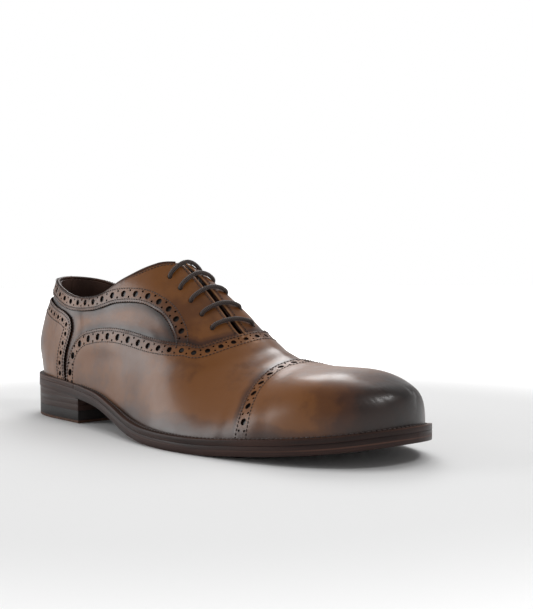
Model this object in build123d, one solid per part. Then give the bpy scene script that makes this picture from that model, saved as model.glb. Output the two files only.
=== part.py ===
"""Man's oxford shoe with a toe cap and brogued facings, right foot, as its separate pieces.

Lengths are in mm. While it is built, x runs forward from the back of the heel, y to the inner
side and z up from the floor. Every piece is moved by ORIGIN_SHIFT as it is written, so that the
finished part has its origin at the middle of its footprint, on the floor.
"""
from build123d import *
import os
import numpy as np

# Bottom
LENGTH = 306.0            # outsole, heel to toe
OUTSOLE = 5.0             # outsole leather
WELT = 3.0                # welt and heel rand
SOLE = OUTSOLE + WELT     # floor side of the outsole to the feather line
INSOLE = 3.0
SOCK = 1.0                # sock liner
WELT_WIDTH = 9.0          # outer edge of the welt to its inner edge
RIB_WIDTH = 2.5
HEEL_FRONT = 77.0         # heel breast
TREAD = 1.6               # brown wear layer under the heel
RUBBER = 6.0              # black rubber lift above it
LIFT = 3.6                # one leather lift
SHANK = (46.0, 160.0, 12.0, 1.2)   # back end, front end, width, thickness
HEEL_INSET = 0.3          # heel in from the edge of the outsole
NAIL = (2.4, 4.5)         # heel nail diameter and length
NAIL_OVAL = (34.0, 25.0, 22.0)     # middle, half length and half width of the ring of nails

# Upper, as depths below its outer surface
LEATHER = 1.4
STIFFENER = 2.0
LINING = 2.5
TONGUE_TOP = 8.0
TONGUE_MID = 9.4
TONGUE_UNDER = 10.6
BINDING = 1.8             # width of the bead along the topline
BEAD = 0.4                # how far the bead stands out

# Lacing
SLIT_Y = 1.0              # middle of the gap between the facings
SLIT = 3.2                # width of that gap
SLIT_END = 187.0          # its front end, at the throat
EYELET_X = {-1: (137.3, 147.0, 156.7, 166.4, 175.5),     # on the outer side
            1: (137.5, 148.2, 159.8, 171.6, 182.5)}      # on the inner side
EYELET_Y = 11.5           # from the middle of the gap to an eyelet, measured across
EYELET_HOLE = 3.8
EYELET_RING = 7.0
EYELET_THICK = 0.35
LACE = 2.4                # lace diameter
LACE_DEPTH = 3.5          # its middle below the outer surface, under the facings
LACE_EXIT = 1.4           # its middle above the surface where it leaves an eyelet
BAR_BEND = 0.52           # share of a half bar at which it begins to bend down
BAR_HEIGHT = 1.9          # height of a bar's middle line there
BAR_CROWN = 2.3           # and at its middle
AGLET = 14.0              # length of the aglets
AGLET_WALL = 0.1

# Ends of the lace, tucked in beside the tongue, as (x, y, depth) and as (x, y)
LACE_START = [(116, -23.5, 5.2), (122, -21.5, 4.8), (128, -18.5, 4.2), (133, -14.5, 3.7)]
LACE_TAIL = [(181, 18.5), (174, 20.8), (164, 21.8), (154, 22.6), (145, 23), (136, 23.4),
             (127, 23.2)]

# Tongue, hinged where it is sewn in at the throat
TONGUE = (118.0, 184.0, 40.0)      # top end, bottom end, width
TONGUE_CORNER = 9.0
TONGUE_REACH = 24.0       # how far its sides come down from the ridge
HINGE_X = 186.0

ORIGIN_SHIFT = (-152.33, 2.15, 0.0)

# Curves along the shoe, as (x, value)
CENTRE = [(0, 0), (60, -0.5), (100, -3.5), (130, -6), (160, -6.5), (190, -4), (220, -1),
          (250, 1.2), (280, 2.5), (306, 3.5)]
HALF_WIDTH = [(0, 32), (30, 33), (55, 33.8), (80, 33.8), (100, 34), (125, 37), (150, 43),
              (175, 48.8), (200, 52), (215, 52), (235, 51), (270, 50), (306, 49)]
UNDERSIDE = [(0, 18.7), (40, 17.8), (77, 15), (100, 12), (120, 7.7), (140, 3.7), (160, 1.2),
             (178, 0.2), (195, 0.04), (215, 0.4), (240, 2.2), (265, 4.5), (288, 7.3), (306, 10.5)]
FEATHER_INSET = [(0, 2.5), (60, 2.5), (100, 3), (150, 4.5), (200, 5.5), (306, 5)]
RIDGE = [(0, 150), (60, 140), (92, 122), (110, 110), (130, 99.5), (150, 87.5), (170, 72.5),
         (190, 56.5), (210, 48), (230, 43.3), (250, 42.6), (270, 42.8), (300, 38)]
RIDGE_Y = [(0, 0), (60, -1), (110, -3), (150, 4), (190, 9), (230, 6.5), (270, 5), (306, 4)]
SIDE_POWER = [(0, 1.8), (60, 1.6), (100, 1.8), (140, 1.95), (180, 1.8), (220, 1.7), (260, 2.8),
              (306, 2.8)]
TOP_POWER = [(0, 1.7), (60, 1.4), (100, 1.5), (140, 1.3), (180, 1.45), (220, 1.55), (260, 2.4),
             (306, 2.8)]
HEEL_ROUND = 45.0         # length of the rounded back of the outline
TOE_ROUND = 91.0          # length of the rounded toe of the outline
UPPER_FRONT = 302.5       # front of the upper
TOE_WALL = 14.5           # upright part of the toe above the feather line
TOE_RISE_START = 240.0    # where the top of the toe begins to come down

# The back of the upper, as (height, x)
BACK = [(18, 3.5), (26, 2.5), (34, 0.5), (44, -2.5), (54, -1), (66, 5), (78, 11), (88, 14.5),
        (110, 22)]

# Seams seen from the side, as (x, z)
TOPLINE = [(-15, 90), (5, 88.8), (13, 88), (25, 85.5), (35, 82.5), (45, 79.5), (55, 76.6),
           (65, 75), (74, 74.7), (82, 75.4), (90, 77.5), (97, 80.8), (105, 85.4), (113, 89.3),
           (120, 92.8), (126, 95.6), (131, 97.3), (137, 98.5), (150, 104)]
CAP_SEAM = [(240, -10), (238.5, 16.5), (236, 24.5), (232, 31), (229.5, 36), (228, 39.5),
            (227.5, 42), (227.5, 60)]
VAMP_EDGE = [(60, -10), (60, 26), (60.5, 37), (64.5, 45.5), (73.5, 52.6), (87, 56),
             (101, 57.5), (112, 57.6), (122, 56.8), (131, 55.6), (140, 54.2), (149, 53),
             (157, 52.2), (165, 51.6), (172, 51.2), (177, 51.7), (181, 53.7), (184, 56.2),
             (186.5, 59), (188, 64), (188.5, 80)]
FACING_EDGE = [(-20, 81.5), (12, 80.4), (25, 78), (34, 75.2), (44, 71.8), (54, 69), (64, 68),
               (76, 68.2), (87, 69.3), (96, 71.3), (103, 73), (112, 73.9), (121, 74),
               (129, 73.2), (137, 70.8), (144, 67.5), (150, 63.4), (155.5, 58.7),
               (160, 53.6), (163, 48), (165, 40)]
COUNTER_EDGE = [(-20, 75.5), (10, 74.8), (26, 72.5), (40, 68.5), (52, 65), (58, 61.5),
                (60, 56.5), (58.5, 50), (56, 43), (55, 35), (57.3, 24), (58, -10)]
TOE_PUFF_BACK = 236.0
COUNTER_MARGIN = (3.0, 6.0)        # heel stiffener short of the counter cover, along and down
LINING_JOINT = 160.0      # where the quarter linings meet the vamp lining

WIDE = 200.0              # longer than the shoe is wide or tall


def along(table, x):
    """Value at x of the smooth curve through a table's points, straight beyond its ends."""
    px, py = (np.array(column, float) for column in zip(*table))
    step = np.diff(px)
    rise = np.diff(py) / step
    slope = np.r_[rise[0], (rise[:-1] * step[1:] + rise[1:] * step[:-1]) / (step[:-1] + step[1:]),
                  rise[-1]]
    x = np.asarray(x, float)
    i = np.clip(np.searchsorted(px, x) - 1, 0, len(step) - 1)
    t = (x - px[i]) / step[i]
    y = ((2 * t**3 - 3 * t**2 + 1) * py[i] + (t**3 - 2 * t**2 + t) * slope[i] * step[i]
         + (3 * t**2 - 2 * t**3) * py[i + 1] + (t**3 - t**2) * slope[i + 1] * step[i])
    y = np.where(x < px[0], py[0] + slope[0] * (x - px[0]), y)
    return np.where(x > px[-1], py[-1] + slope[-1] * (x - px[-1]), y)


def rounded_ends(x, back, front, back_length, front_length, toe_power):
    """Factor for the half width: 1 along the middle, falling roundly to 0 at both ends."""
    a = np.clip((back + back_length - x) / back_length, 0, 1)
    b = np.clip((x - front + front_length) / front_length, 0, 1)
    return (1 - a**2.15) ** (1 / 2.15) * (1 - b**toe_power) ** (1 / 2.15)


def feather(x):
    """Height of the line where the upper meets the welt."""
    return along(UNDERSIDE, x) + SOLE


def ridge(x):
    """Height of the top of the upper, carried on over the ankle opening."""
    low = feather(x) + TOE_WALL
    b = np.clip((x - TOE_RISE_START) / (UPPER_FRONT - TOE_RISE_START), 0, 1)
    return low + (along(RIDGE, x) - low) * (1 - b**3.1) ** (1 / 2.2)


def upper_section(x, z, depth=0.0):
    """Middle and half width of the upper at x and z; a negative half width is outside it."""
    top = ridge(x) - depth
    t = np.clip((z - feather(x)) / (top - feather(x)), 0, 1)
    back = along(BACK, np.clip(z, 18, 110)) + depth
    front = UPPER_FRONT - depth
    width = along(HALF_WIDTH, x) - along(FEATHER_INSET, x) - depth
    width = width * rounded_ends(x, back, front, HEEL_ROUND - 1, TOE_ROUND - 3, 2.9)
    width = width * (1 - t ** along(TOP_POWER, x)) ** (1 / along(SIDE_POWER, x))
    middle = along(CENTRE, x) * (1 - t) + along(RIDGE_Y, x) * t
    inside = (z < top) & (x > back) & (x < front)
    return middle, np.where(inside, width, -1.0)


def fan_sections(depth, stations=26, points=15, base=-2.0):
    """Arches over the form, in planes that lean out over the heel and the toe."""
    foot = np.linspace(24, 282, stations)
    lean = np.radians(90 * np.clip((foot - 232) / 50, 0, 1) ** 1.3
                      - 90 * np.clip((66 - foot) / 42, 0, 1) ** 1.2)
    angle = np.linspace(0, np.pi, 161)
    sections = []
    for x0, tilt in zip(foot, lean):
        y0 = float(along(CENTRE, x0))
        near, far = np.zeros_like(angle), np.full_like(angle, 260.0)
        for _ in range(36):
            reach = (near + far) / 2
            up = reach * np.sin(angle)
            middle, width = upper_section(x0 + up * np.sin(tilt), base + up * np.cos(tilt), depth)
            inside = np.abs(y0 - reach * np.cos(angle) - middle) < width
            near, far = np.where(inside, reach, near), np.where(inside, far, reach)
        up = near * np.sin(angle)
        arch = np.stack([x0 + up * np.sin(tilt), y0 - near * np.cos(angle),
                         base + up * np.cos(tilt)], axis=-1)
        run = np.r_[0, np.cumsum(np.linalg.norm(np.diff(arch, axis=0), axis=1))]
        even = np.linspace(0, run[-1], points)
        sections.append(np.stack([np.interp(even, run, arch[:, k]) for k in range(3)], axis=-1))
    return sections


def form(depth):
    """Closed solid of all that lies deeper than this below the upper's outer surface."""
    wires = []
    for arch in fan_sections(depth):
        points = [Vector(*p) for p in arch.tolist()]
        wires.append(Wire([Edge.make_spline(points), Edge.make_line(points[-1], points[0])]))
    return Solid.make_loft(wires, True)


def side_prism(curve, rest):
    """Prism right across the shoe, bounded by a smooth seam and the straight lines of rest."""
    seam = Spline(*[(x, -WIDE / 2, z) for x, z in curve])
    lines = Polyline(*[(x, -WIDE / 2, z) for x, z in (curve[-1], *rest, curve[0])])
    return extrude(make_face([seam, lines]), WIDE, dir=(0, 1, 0))


def band(low, high):
    """Layer between two heights above the underside of the outsole."""
    stations = np.linspace(-10, LENGTH + 10, 20)
    under = [(x, float(along(UNDERSIDE, x)) + low) for x in stations]
    over = [(x, float(along(UNDERSIDE, x)) + high) for x in stations]
    edges = [Spline(*[(x, -WIDE / 2, z) for x, z in line]) for line in (under, over)]
    edges += [Line((under[i][0], -WIDE / 2, under[i][1]), (over[i][0], -WIDE / 2, over[i][1]))
              for i in (0, -1)]
    return extrude(make_face(edges), WIDE, dir=(0, 1, 0))


def plan_prism(inset):
    """Upright prism of the sole's outline, drawn in by inset."""
    angle = np.linspace(0, np.pi, 26)
    x = LENGTH / 2 - (LENGTH / 2 - inset) * np.cos(angle)
    half = (along(HALF_WIDTH, x) - inset) * rounded_ends(
        x, inset, LENGTH - inset, HEEL_ROUND - inset, TOE_ROUND - inset, 2.5)
    middle = along(CENTRE, x)
    loop = [(a, b - c, -5) for a, b, c in zip(x, middle, half)]
    loop += [(a, b + c, -5) for a, b, c in list(zip(x, middle, half))[-2:0:-1]]
    return extrude(make_face(Spline(*loop, periodic=True)), WIDE, dir=(0, 0, 1))


def block(x0, x1, y0, y1, z0, z1):
    """Box between two corners."""
    return Pos((x0 + x1) / 2, (y0 + y1) / 2, (z0 + z1) / 2) * Box(x1 - x0, y1 - y0, z1 - z0)


def on_top(x, y, depth=0.0):
    """Point on the upper at x and y, this deep below its outer surface, and the normal there."""
    def height(a, b):
        low, high = float(feather(a)), 160.0
        for _ in range(40):
            mid = (low + high) / 2
            middle, width = upper_section(a, mid)
            low, high = (mid, high) if abs(b - middle) < width else (low, mid)
        return low
    z = height(x, y)
    normal = Vector(height(x - 1, y) - height(x + 1, y), height(x, y - 1) - height(x, y + 1), 2)
    normal = normal.normalized()
    return Vector(x, y, z) - normal * depth, normal


def eyelet_y(side):
    """y of the eyelets on the outer side (-1) or the inner side (1)."""
    return SLIT_Y + side * EYELET_Y


def eyelet_discs(side, radius, top, bottom):
    """Cylinders at one side's eyelets between two depths below the surface."""
    discs = []
    for x in EYELET_X[side]:
        start, normal = on_top(x, eyelet_y(side), bottom)
        disc = Cylinder(radius, bottom - top, align=(Align.CENTER, Align.CENTER, Align.MIN))
        discs.append(Plane(start, z_dir=normal) * disc)
    return discs


def lace_route():
    """Points of the lace: up one eyelet, straight across, down the other, and on to the next."""
    def bar(pair, side):
        """Bar that starts from this side's eyelet of a pair, bowed up a little off the gap."""
        start, end = EYELET_X[side][pair], EYELET_X[-side][pair]
        profile = [(1, LACE_DEPTH), (1, -LACE_EXIT), (BAR_BEND, -BAR_HEIGHT), (0, -BAR_CROWN),
                   (-BAR_BEND, -BAR_HEIGHT), (-1, -LACE_EXIT), (-1, LACE_DEPTH)]
        return [on_top((start + end) / 2 + (start - end) / 2 * across,
                       SLIT_Y + side * EYELET_Y * across, depth)[0]
                for across, depth in profile]
    route = [on_top(*place)[0] for place in LACE_START]
    side = -1
    for pair in range(len(EYELET_X[side])):
        route += bar(pair, side)
        side = -side
    return route + [on_top(x, y, LACE_DEPTH)[0] for x, y in LACE_TAIL]


def rounded_path(points, share=0.42):
    """Straight runs joined by tangent arcs, each as large as its two runs allow."""
    radii = []
    for before, corner, after in zip(points, points[1:], points[2:]):
        turn = np.radians((corner - before).get_angle(after - corner))
        run = min((corner - before).length, (after - corner).length)
        radii.append(share * run / np.tan(turn / 2))
    return FilletPolyline(*points, radius=radii), radii


def lace_parts():
    """The lace as one tube along its route, and an aglet on each end of it."""
    points = lace_route()
    path, radii = rounded_path(points)
    section = Plane(points[0], z_dir=points[1] - points[0]) * Circle(LACE / 2)
    tube = sweep(section, path=path)
    area = np.pi * LACE**2 / 4
    print("lace length", round(path.length, 1), "volume ratio",
          round(tube.volume / (area * path.length), 4), "least radius", round(min(radii), 2))
    aglets = []
    for end, nearest in ((points[0], points[1]), (points[-1], points[-2])):
        barrel = Cylinder(LACE / 2 + AGLET_WALL, AGLET,
                          align=(Align.CENTER, Align.CENTER, Align.MIN))
        aglets.append(Plane(end, z_dir=end - nearest) * barrel)
    return tube, Compound(children=aglets)


def largest(shape):
    """The largest solid of a shape, without the slivers that a cut can leave."""
    return max(shape.solids(), key=lambda s: s.volume)


def upper_parts():
    """Leather, lining and stiffeners of the upper, cut to their seams."""
    above = band(SOLE, WIDE)
    below_topline = side_prism(TOPLINE, [(330, 104), (330, -30), (-40, -30), (-40, 90)])
    lowered = [(x, z - BINDING) for x, z in TOPLINE]
    below_binding = side_prism(lowered, [(330, 104), (330, -30), (-40, -30), (-40, 90 - BINDING)])
    slit = block(100, SLIT_END, SLIT_Y - SLIT / 2, SLIT_Y + SLIT / 2, 45, WIDE)
    cap_region = side_prism(CAP_SEAM, [(340, 60), (340, -10)])
    vamp_region = side_prism(VAMP_EDGE, [(340, 80), (340, -10)])
    facing_region = side_prism(FACING_EDGE, [(340, 40), (340, WIDE), (-20, WIDE)])
    counter_region = side_prism(COUNTER_EDGE, [(-20, -10)])
    outer_side = block(-50, 350, -WIDE, 0, -20, WIDE)
    front_outer = block(100, 350, -WIDE, SLIT_Y, -20, WIDE)
    outer_half = outer_side + front_outer

    solids = {d: form(d) & above for d in (0.0, LEATHER, STIFFENER, LINING)}
    parts = {}
    leather = ((solids[0.0] & below_binding) - solids[LEATHER]) - slit
    parts["toe_cap"] = leather & cap_region
    leather = leather - cap_region
    parts["vamp"] = leather & vamp_region
    leather = leather - vamp_region
    parts["heel_counter_cover"] = leather & counter_region
    leather = leather - counter_region
    facings = leather & facing_region
    quarters = leather - facing_region
    parts["facing_outer"], parts["facing_inner"] = facings & outer_half, facings - outer_half
    parts["quarter_outer"], parts["quarter_inner"] = quarters & outer_half, quarters - outer_half

    bead = ((form(-BEAD) & below_topline) - below_binding) - form(LINING + BEAD)
    parts["collar_binding"] = (bead - slit) & block(-40, 140, -WIDE, WIDE, 40, WIDE)

    stiffener = solids[LEATHER] - solids[STIFFENER]
    parts["toe_puff"] = stiffener & block(TOE_PUFF_BACK, 340, -WIDE, WIDE, -20, WIDE)
    inset, lower = COUNTER_MARGIN
    low_counter = side_prism([(x - inset, z - lower) for x, z in COUNTER_EDGE],
                             [(-20 - inset, -10 - lower)])
    parts["heel_stiffener"] = stiffener & low_counter
    lining = ((solids[LEATHER] & below_binding) - solids[LINING]) - slit
    lining = lining - parts["toe_puff"] - parts["heel_stiffener"]
    back_part = block(-50, LINING_JOINT, -WIDE, WIDE, -20, WIDE)
    quarter_lining = lining & back_part
    parts["vamp_lining"] = lining - back_part
    parts["quarter_lining_outer"] = quarter_lining & outer_half
    parts["quarter_lining_inner"] = quarter_lining - outer_half
    parts = {name: largest(shape) for name, shape in parts.items()}
    return punch_eyelets(parts)


def punch_eyelets(parts):
    """Punch the lace holes and set a blind ring behind each, between leather and lining."""
    for side, word in ((-1, "outer"), (1, "inner")):
        rings = []
        holes = eyelet_discs(side, EYELET_HOLE / 2, -2.0, 4.5)
        discs = eyelet_discs(side, EYELET_RING / 2, LEATHER + 0.2, LEATHER + 0.2 + EYELET_THICK)
        for hole, disc in zip(holes, discs):
            ring = disc - hole
            rings.append(ring)
            for name in (f"facing_{word}", f"quarter_lining_{word}", "vamp_lining"):
                parts[name] = largest(parts[name] - disc - hole)
        parts[f"eyelets_{word}"] = Compound(children=[largest(ring) for ring in rings])
    return parts


def tongue_parts():
    """Tongue leather and its lining, with a rounded top, under the facings."""
    back, front, width = TONGUE
    plan = Pos((back + front) / 2, SLIT_Y, 0) * RectangleRounded(front - back, width,
                                                                 TONGUE_CORNER)
    foot = [(x, float(ridge(x)) - TONGUE_REACH) for x in range(110, 200, 20)]
    plan = extrude(plan, WIDE) & side_prism(foot, [(190, WIDE), (110, WIDE)])
    outer, middle, under = form(TONGUE_TOP), form(TONGUE_MID), form(TONGUE_UNDER)
    return {"tongue": largest((outer - middle) & plan),
            "tongue_lining": largest((middle - under) & plan)}


def bottom_parts():
    """Welt, insole, outsole and what lies between them."""
    edge, welt_edge = plan_prism(0), plan_prism(WELT_WIDTH)
    rib_edge = plan_prism(WELT_WIDTH + RIB_WIDTH)
    heel_half = block(-50, HEEL_FRONT - 5, -WIDE, WIDE, -20, WIDE)
    welt_layer = band(OUTSOLE, SOLE)
    ring = (edge - welt_edge) & welt_layer
    back, front, width, thick = SHANK
    shank_box = block(back, front, -4 - width / 2, -4 + width / 2, -20, WIDE)
    shank = band(SOLE - 1 - thick, SOLE - 1) & shank_box
    inside = form(LINING + 0.2)
    parts = {
        "outsole": edge & band(0, OUTSOLE),
        "heel_rand": ring & heel_half,
        "welt": ring - heel_half,
        "insole_rib": (welt_edge - rib_edge) & welt_layer,
        "shank": shank,
        "cork_filler": (rib_edge & welt_layer) - shank,
        "insole": inside & band(SOLE, SOLE + INSOLE),
        "sock_liner": (inside & band(SOLE + INSOLE, SOLE + INSOLE + SOCK))
        & block(-50, 112, -WIDE, WIDE, -20, WIDE),
    }
    return {name: largest(shape) for name, shape in parts.items()}


def heel_parts():
    """Heel of leather lifts on a rubber lift and a wear layer, with its nails."""
    column = plan_prism(HEEL_INSET) & block(-50, HEEL_FRONT, -WIDE, WIDE, -20, WIDE)
    column = column & band(-WIDE / 4, 0)
    levels = [0, TREAD, TREAD + RUBBER]
    names = ["heel_tread", "rubber_lift", "heel_lift_1", "heel_lift_2", "heel_lift_3"]
    levels += [levels[-1] + LIFT * n for n in (1, 2)] + [30]
    parts = {name: largest(column & block(-50, 100, -WIDE, WIDE, low, high))
             for name, low, high in zip(names, levels, levels[1:])}
    diameter, length = NAIL
    middle, half_length, half_width = NAIL_OVAL
    nails = []
    for angle in np.radians(np.linspace(75, 285, 7)):
        x, y = middle + half_length * np.cos(angle), half_width * np.sin(angle)
        nail = Cylinder(diameter / 2, length, align=(Align.CENTER, Align.CENTER, Align.MIN))
        nails.append(Pos(x, y, 0) * nail)
    for name in ("heel_tread", "rubber_lift"):
        for nail in nails:
            parts[name] = largest(parts[name] - nail)
    parts["heel_nails"] = Compound(children=nails)
    return parts


def main():
    os.makedirs("parts", exist_ok=True)
    parts = {**bottom_parts(), **heel_parts(), **upper_parts(), **tongue_parts()}
    parts["lace"], parts["aglets"] = lace_parts()
    shift = Pos(*ORIGIN_SHIFT)
    for name, shape in parts.items():
        export_step(shift * shape, f"parts/{name}.step")
    whole = Compound(children=[shift * shape for shape in parts.values()]).bounding_box()
    print("box", whole.min, whole.max)
    hinge, _ = on_top(HINGE_X, SLIT_Y, TONGUE_MID)
    print("tongue hinge", hinge + Vector(*ORIGIN_SHIFT))


main()
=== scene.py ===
import math

import bpy
import numpy as np
from bpy.props import FloatProperty, FloatVectorProperty, PointerProperty
from bpy.types import Operator, Panel, PropertyGroup
from mathutils import Matrix, Vector, kdtree
from mathutils.geometry import delaunay_2d_cdt


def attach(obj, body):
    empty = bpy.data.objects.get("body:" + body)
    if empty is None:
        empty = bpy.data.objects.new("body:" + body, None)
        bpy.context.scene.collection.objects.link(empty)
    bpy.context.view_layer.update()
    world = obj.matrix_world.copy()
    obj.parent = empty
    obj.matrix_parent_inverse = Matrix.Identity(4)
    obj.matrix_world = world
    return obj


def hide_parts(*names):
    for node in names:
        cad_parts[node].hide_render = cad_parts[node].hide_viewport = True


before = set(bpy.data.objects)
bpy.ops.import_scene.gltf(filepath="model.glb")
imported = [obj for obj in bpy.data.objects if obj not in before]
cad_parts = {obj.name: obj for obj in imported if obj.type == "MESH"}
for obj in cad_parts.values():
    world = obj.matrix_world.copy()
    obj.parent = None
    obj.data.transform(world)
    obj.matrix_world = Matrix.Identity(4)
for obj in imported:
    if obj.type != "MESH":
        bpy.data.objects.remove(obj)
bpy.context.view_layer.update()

bl_info = {
    "name": "Cap-toe oxford shoe",
    "version": (1, 0, 0),
    "blender": (4, 5, 0),
    "location": "3D View > Sidebar > Shoe",
    "description": "Builds the leather, stitching, lacing and bottom of a man's oxford shoe",
    "category": "Object",
}

# Lengths below are in mm from the back of the heel, y to the inner side, z up from the floor.
MM = 0.001
SHIFT = np.array([-152.33, 2.15, 0.0])

# The sole and the last, as (x, value)
LENGTH = 306.0
OUTSOLE = 5.0
SOLE = 8.0
HEEL_FRONT = 77.0
CENTRE = [(0, 0), (60, -0.5), (100, -3.5), (130, -6), (160, -6.5), (190, -4), (220, -1),
          (250, 1.2), (280, 2.5), (306, 3.5)]
HALF_WIDTH = [(0, 32), (30, 33), (55, 33.8), (80, 33.8), (100, 34), (125, 37), (150, 43),
              (175, 48.8), (200, 52), (215, 52), (235, 51), (270, 50), (306, 49)]
UNDERSIDE = [(0, 18.7), (40, 17.8), (77, 15), (100, 12), (120, 7.7), (140, 3.7), (160, 1.2),
             (178, 0.2), (195, 0.04), (215, 0.4), (240, 2.2), (265, 4.5), (288, 7.3), (306, 10.5)]
HEEL_ROUND = 45.0
TOE_ROUND = 91.0
WELT_WIDTH = 9.0
FEATHER_INSET = [(0, 2.5), (60, 2.5), (100, 3), (150, 4.5), (200, 5.5), (306, 5)]
RIDGE = [(0, 150), (60, 140), (92, 122), (110, 110), (130, 99.5), (150, 87.5), (170, 72.5),
         (190, 56.5), (210, 48), (230, 43.3), (250, 42.6), (270, 42.8), (300, 38)]
RIDGE_Y = [(0, 0), (60, -1), (110, -3), (150, 4), (190, 9), (230, 6.5), (270, 5), (306, 4)]
SIDE_POWER = [(0, 1.8), (60, 1.6), (100, 1.8), (140, 1.95), (180, 1.8), (220, 1.7), (260, 2.8),
              (306, 2.8)]
TOP_POWER = [(0, 1.7), (60, 1.4), (100, 1.5), (140, 1.3), (180, 1.45), (220, 1.55), (260, 2.4),
             (306, 2.8)]
BACK = [(18, 3.5), (26, 2.5), (34, 0.5), (44, -2.5), (54, -1), (66, 5), (78, 11), (88, 14.5),
        (110, 22)]
UPPER_FRONT = 302.5
TOE_WALL = 14.5
TOE_RISE_START = 240.0

# Seams seen from the side, as (x, z), from the feather or the back forwards
TOPLINE = [(13, 88), (25, 85.5), (35, 82.5), (45, 79.5), (55, 76.6), (65, 75), (74, 74.7),
           (82, 75.4), (90, 77.5), (97, 80.8), (105, 85.4), (113, 89.3), (120, 92.8), (126, 95.4)]
FACING_TOP = [(129.5, 0.74), (133.6, 0.4)]      # its front corner, as (x, share of the way out)
FACING_EDGE = [(12, 80.4), (25, 78), (34, 75.2), (44, 71.8), (54, 69), (64, 68), (76, 68.2),
               (87, 69.3), (96, 71.3), (103, 73), (112, 73.9), (121, 74), (129, 73.2),
               (137, 70.8), (144.6, 67.8), (151.2, 63.8), (157, 59), (162.2, 53.8), (165.5, 48)]
VAMP_EDGE = [(60, 19), (60, 26), (60.5, 37), (64.5, 45.5), (73.5, 52.6), (87, 56), (101, 57.5),
             (112, 57.6), (122, 56.8), (131, 55.6), (140, 54.2), (149, 53), (157, 52.2),
             (165, 51.6), (171, 51.4)]
VAMP_THROAT = [(177, -21.5), (182.3, -14.5), (185.4, -7.5), (187.4, -1), (188.4, 5), (188.2, 11),
               (186.2, 17), (182, 22.5)]                       # as (x, y), over the instep
CAP_SIDE = [(234.5, 8), (234, 16.5), (231.3, 24.6), (227.6, 31.1), (225, 36)]
CAP_TOP = [(223.4, -13), (223.1, -6), (223.6, 1), (224, 8), (224, 15)]
COUNTER_EDGE = [(58, 19), (57.3, 24), (55, 35), (56, 43), (58.5, 50), (60, 56.5), (58, 61.5),
                (52, 65), (40, 68.5), (26, 72.5), (12, 74.6)]
BACK_HEIGHTS = {"topline": 88.6, "band": 81.2, "counter": 75.2}

# Lacing and tongue
SLIT_Y = 1.0
SLIT = 3.2
EYELET_X = {-1: (137.3, 147.0, 156.7, 166.4, 175.5), 1: (137.5, 148.2, 159.8, 171.6, 182.5)}
EYELET_Y = 11.5
LACE = 2.4
LACE_DEPTH = 3.5
BAR_PROFILE = ((1, 3.5), (1, -1.4), (0.52, -1.9), (0, -2.3), (-0.52, -1.9), (-1, -1.4), (-1, 3.5))
LACE_START = [(116, -23.5, 5.2), (122, -21.5, 4.8), (128, -18.5, 4.2), (133, -14.5, 3.7)]
LACE_TAIL = [(181, 18.5), (174, 20.8), (164, 21.8), (154, 22.6), (145, 23), (136, 23.4),
             (127, 23.2)]

# The stage: its floor in m; lights as (name, place, target, size in m, power in W); the room's
# brightness as (height of the direction, grey)
FLOOR = 12
SOFTBOXES = (("Left softbox", (-1.05, -0.95, 0.5), (-0.05, 0.0, 0.04), 0.85, 6.5),
             ("Back softbox", (-0.85, 0.8, 1.0), (0.03, 0.0, 0.04), 0.5, 4.6),
             ("Toe softbox", (0.85, 0.15, 1.05), (0.12, 0.0, 0.03), 0.3, 3.6))
SKY = ((0.0, 0.72), (0.22, 0.62), (0.5, 0.26), (1.0, 0.22))

# The camera: angles in degrees (its lift in radians), the point that it looks at in mm,
# its distance in m, its sensor and lens in mm
CAMERA_TURN = 48.07
CAMERA_LIFT = math.atan2(69.71, 1053.3)
CAMERA_ROLL = -0.16
CAMERA_TARGET = (174.49, 31.02, 48.88)
CAMERA_DISTANCE = 0.6023
SENSOR = 36
LENS = 1053.3 / 533 * SENSOR
LENS_SHIFT = (-1.5 / 533, 40.5 / 533)

# Heights of the panels above the last's surface
LEATHER = 1.0
STEP = 0.75               # how far an overlapping edge stands above the panel below
UNDERLAP = 0.35           # how far a covered edge is pressed down
PROUD = 0.05              # how far a stitch's middle line stands above the leather
HOLE_ROW = 4.3            # from the edge to the middle of the large holes
HOLE_PITCH = 8.8
UNDER = 7.6               # how far a panel runs on beneath the next one


def along(table, x):
    """Value at x of the smooth curve through a table's points, straight beyond its ends."""
    px, py = (np.array(column, float) for column in zip(*table))
    step = np.diff(px)
    rise = np.diff(py) / step
    slope = np.r_[rise[0], (rise[:-1] * step[1:] + rise[1:] * step[:-1]) / (step[:-1] + step[1:]),
                  rise[-1]]
    x = np.asarray(x, float)
    i = np.clip(np.searchsorted(px, x) - 1, 0, len(step) - 1)
    t = (x - px[i]) / step[i]
    y = ((2 * t**3 - 3 * t**2 + 1) * py[i] + (t**3 - 2 * t**2 + t) * slope[i] * step[i]
         + (3 * t**2 - 2 * t**3) * py[i + 1] + (t**3 - t**2) * slope[i + 1] * step[i])
    y = np.where(x < px[0], py[0] + slope[0] * (x - px[0]), y)
    return np.where(x > px[-1], py[-1] + slope[-1] * (x - px[-1]), y)


def rounded_ends(x, back, front, back_length, front_length, toe_power):
    """Factor for the half width: 1 along the middle, falling roundly to 0 at both ends."""
    a = np.clip((back + back_length - x) / back_length, 0, 1)
    b = np.clip((x - front + front_length) / front_length, 0, 1)
    return (1 - a**2.15) ** (1 / 2.15) * (1 - b**toe_power) ** (1 / 2.15)


def feather(x):
    """Height of the line where the upper meets the welt."""
    return along(UNDERSIDE, x) + SOLE


def ridge(x):
    """Height of the top of the upper, carried on over the ankle opening."""
    low = feather(x) + TOE_WALL
    b = np.clip((x - TOE_RISE_START) / (UPPER_FRONT - TOE_RISE_START), 0, 1)
    return low + (along(RIDGE, x) - low) * (1 - b**3.1) ** (1 / 2.2)


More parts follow.
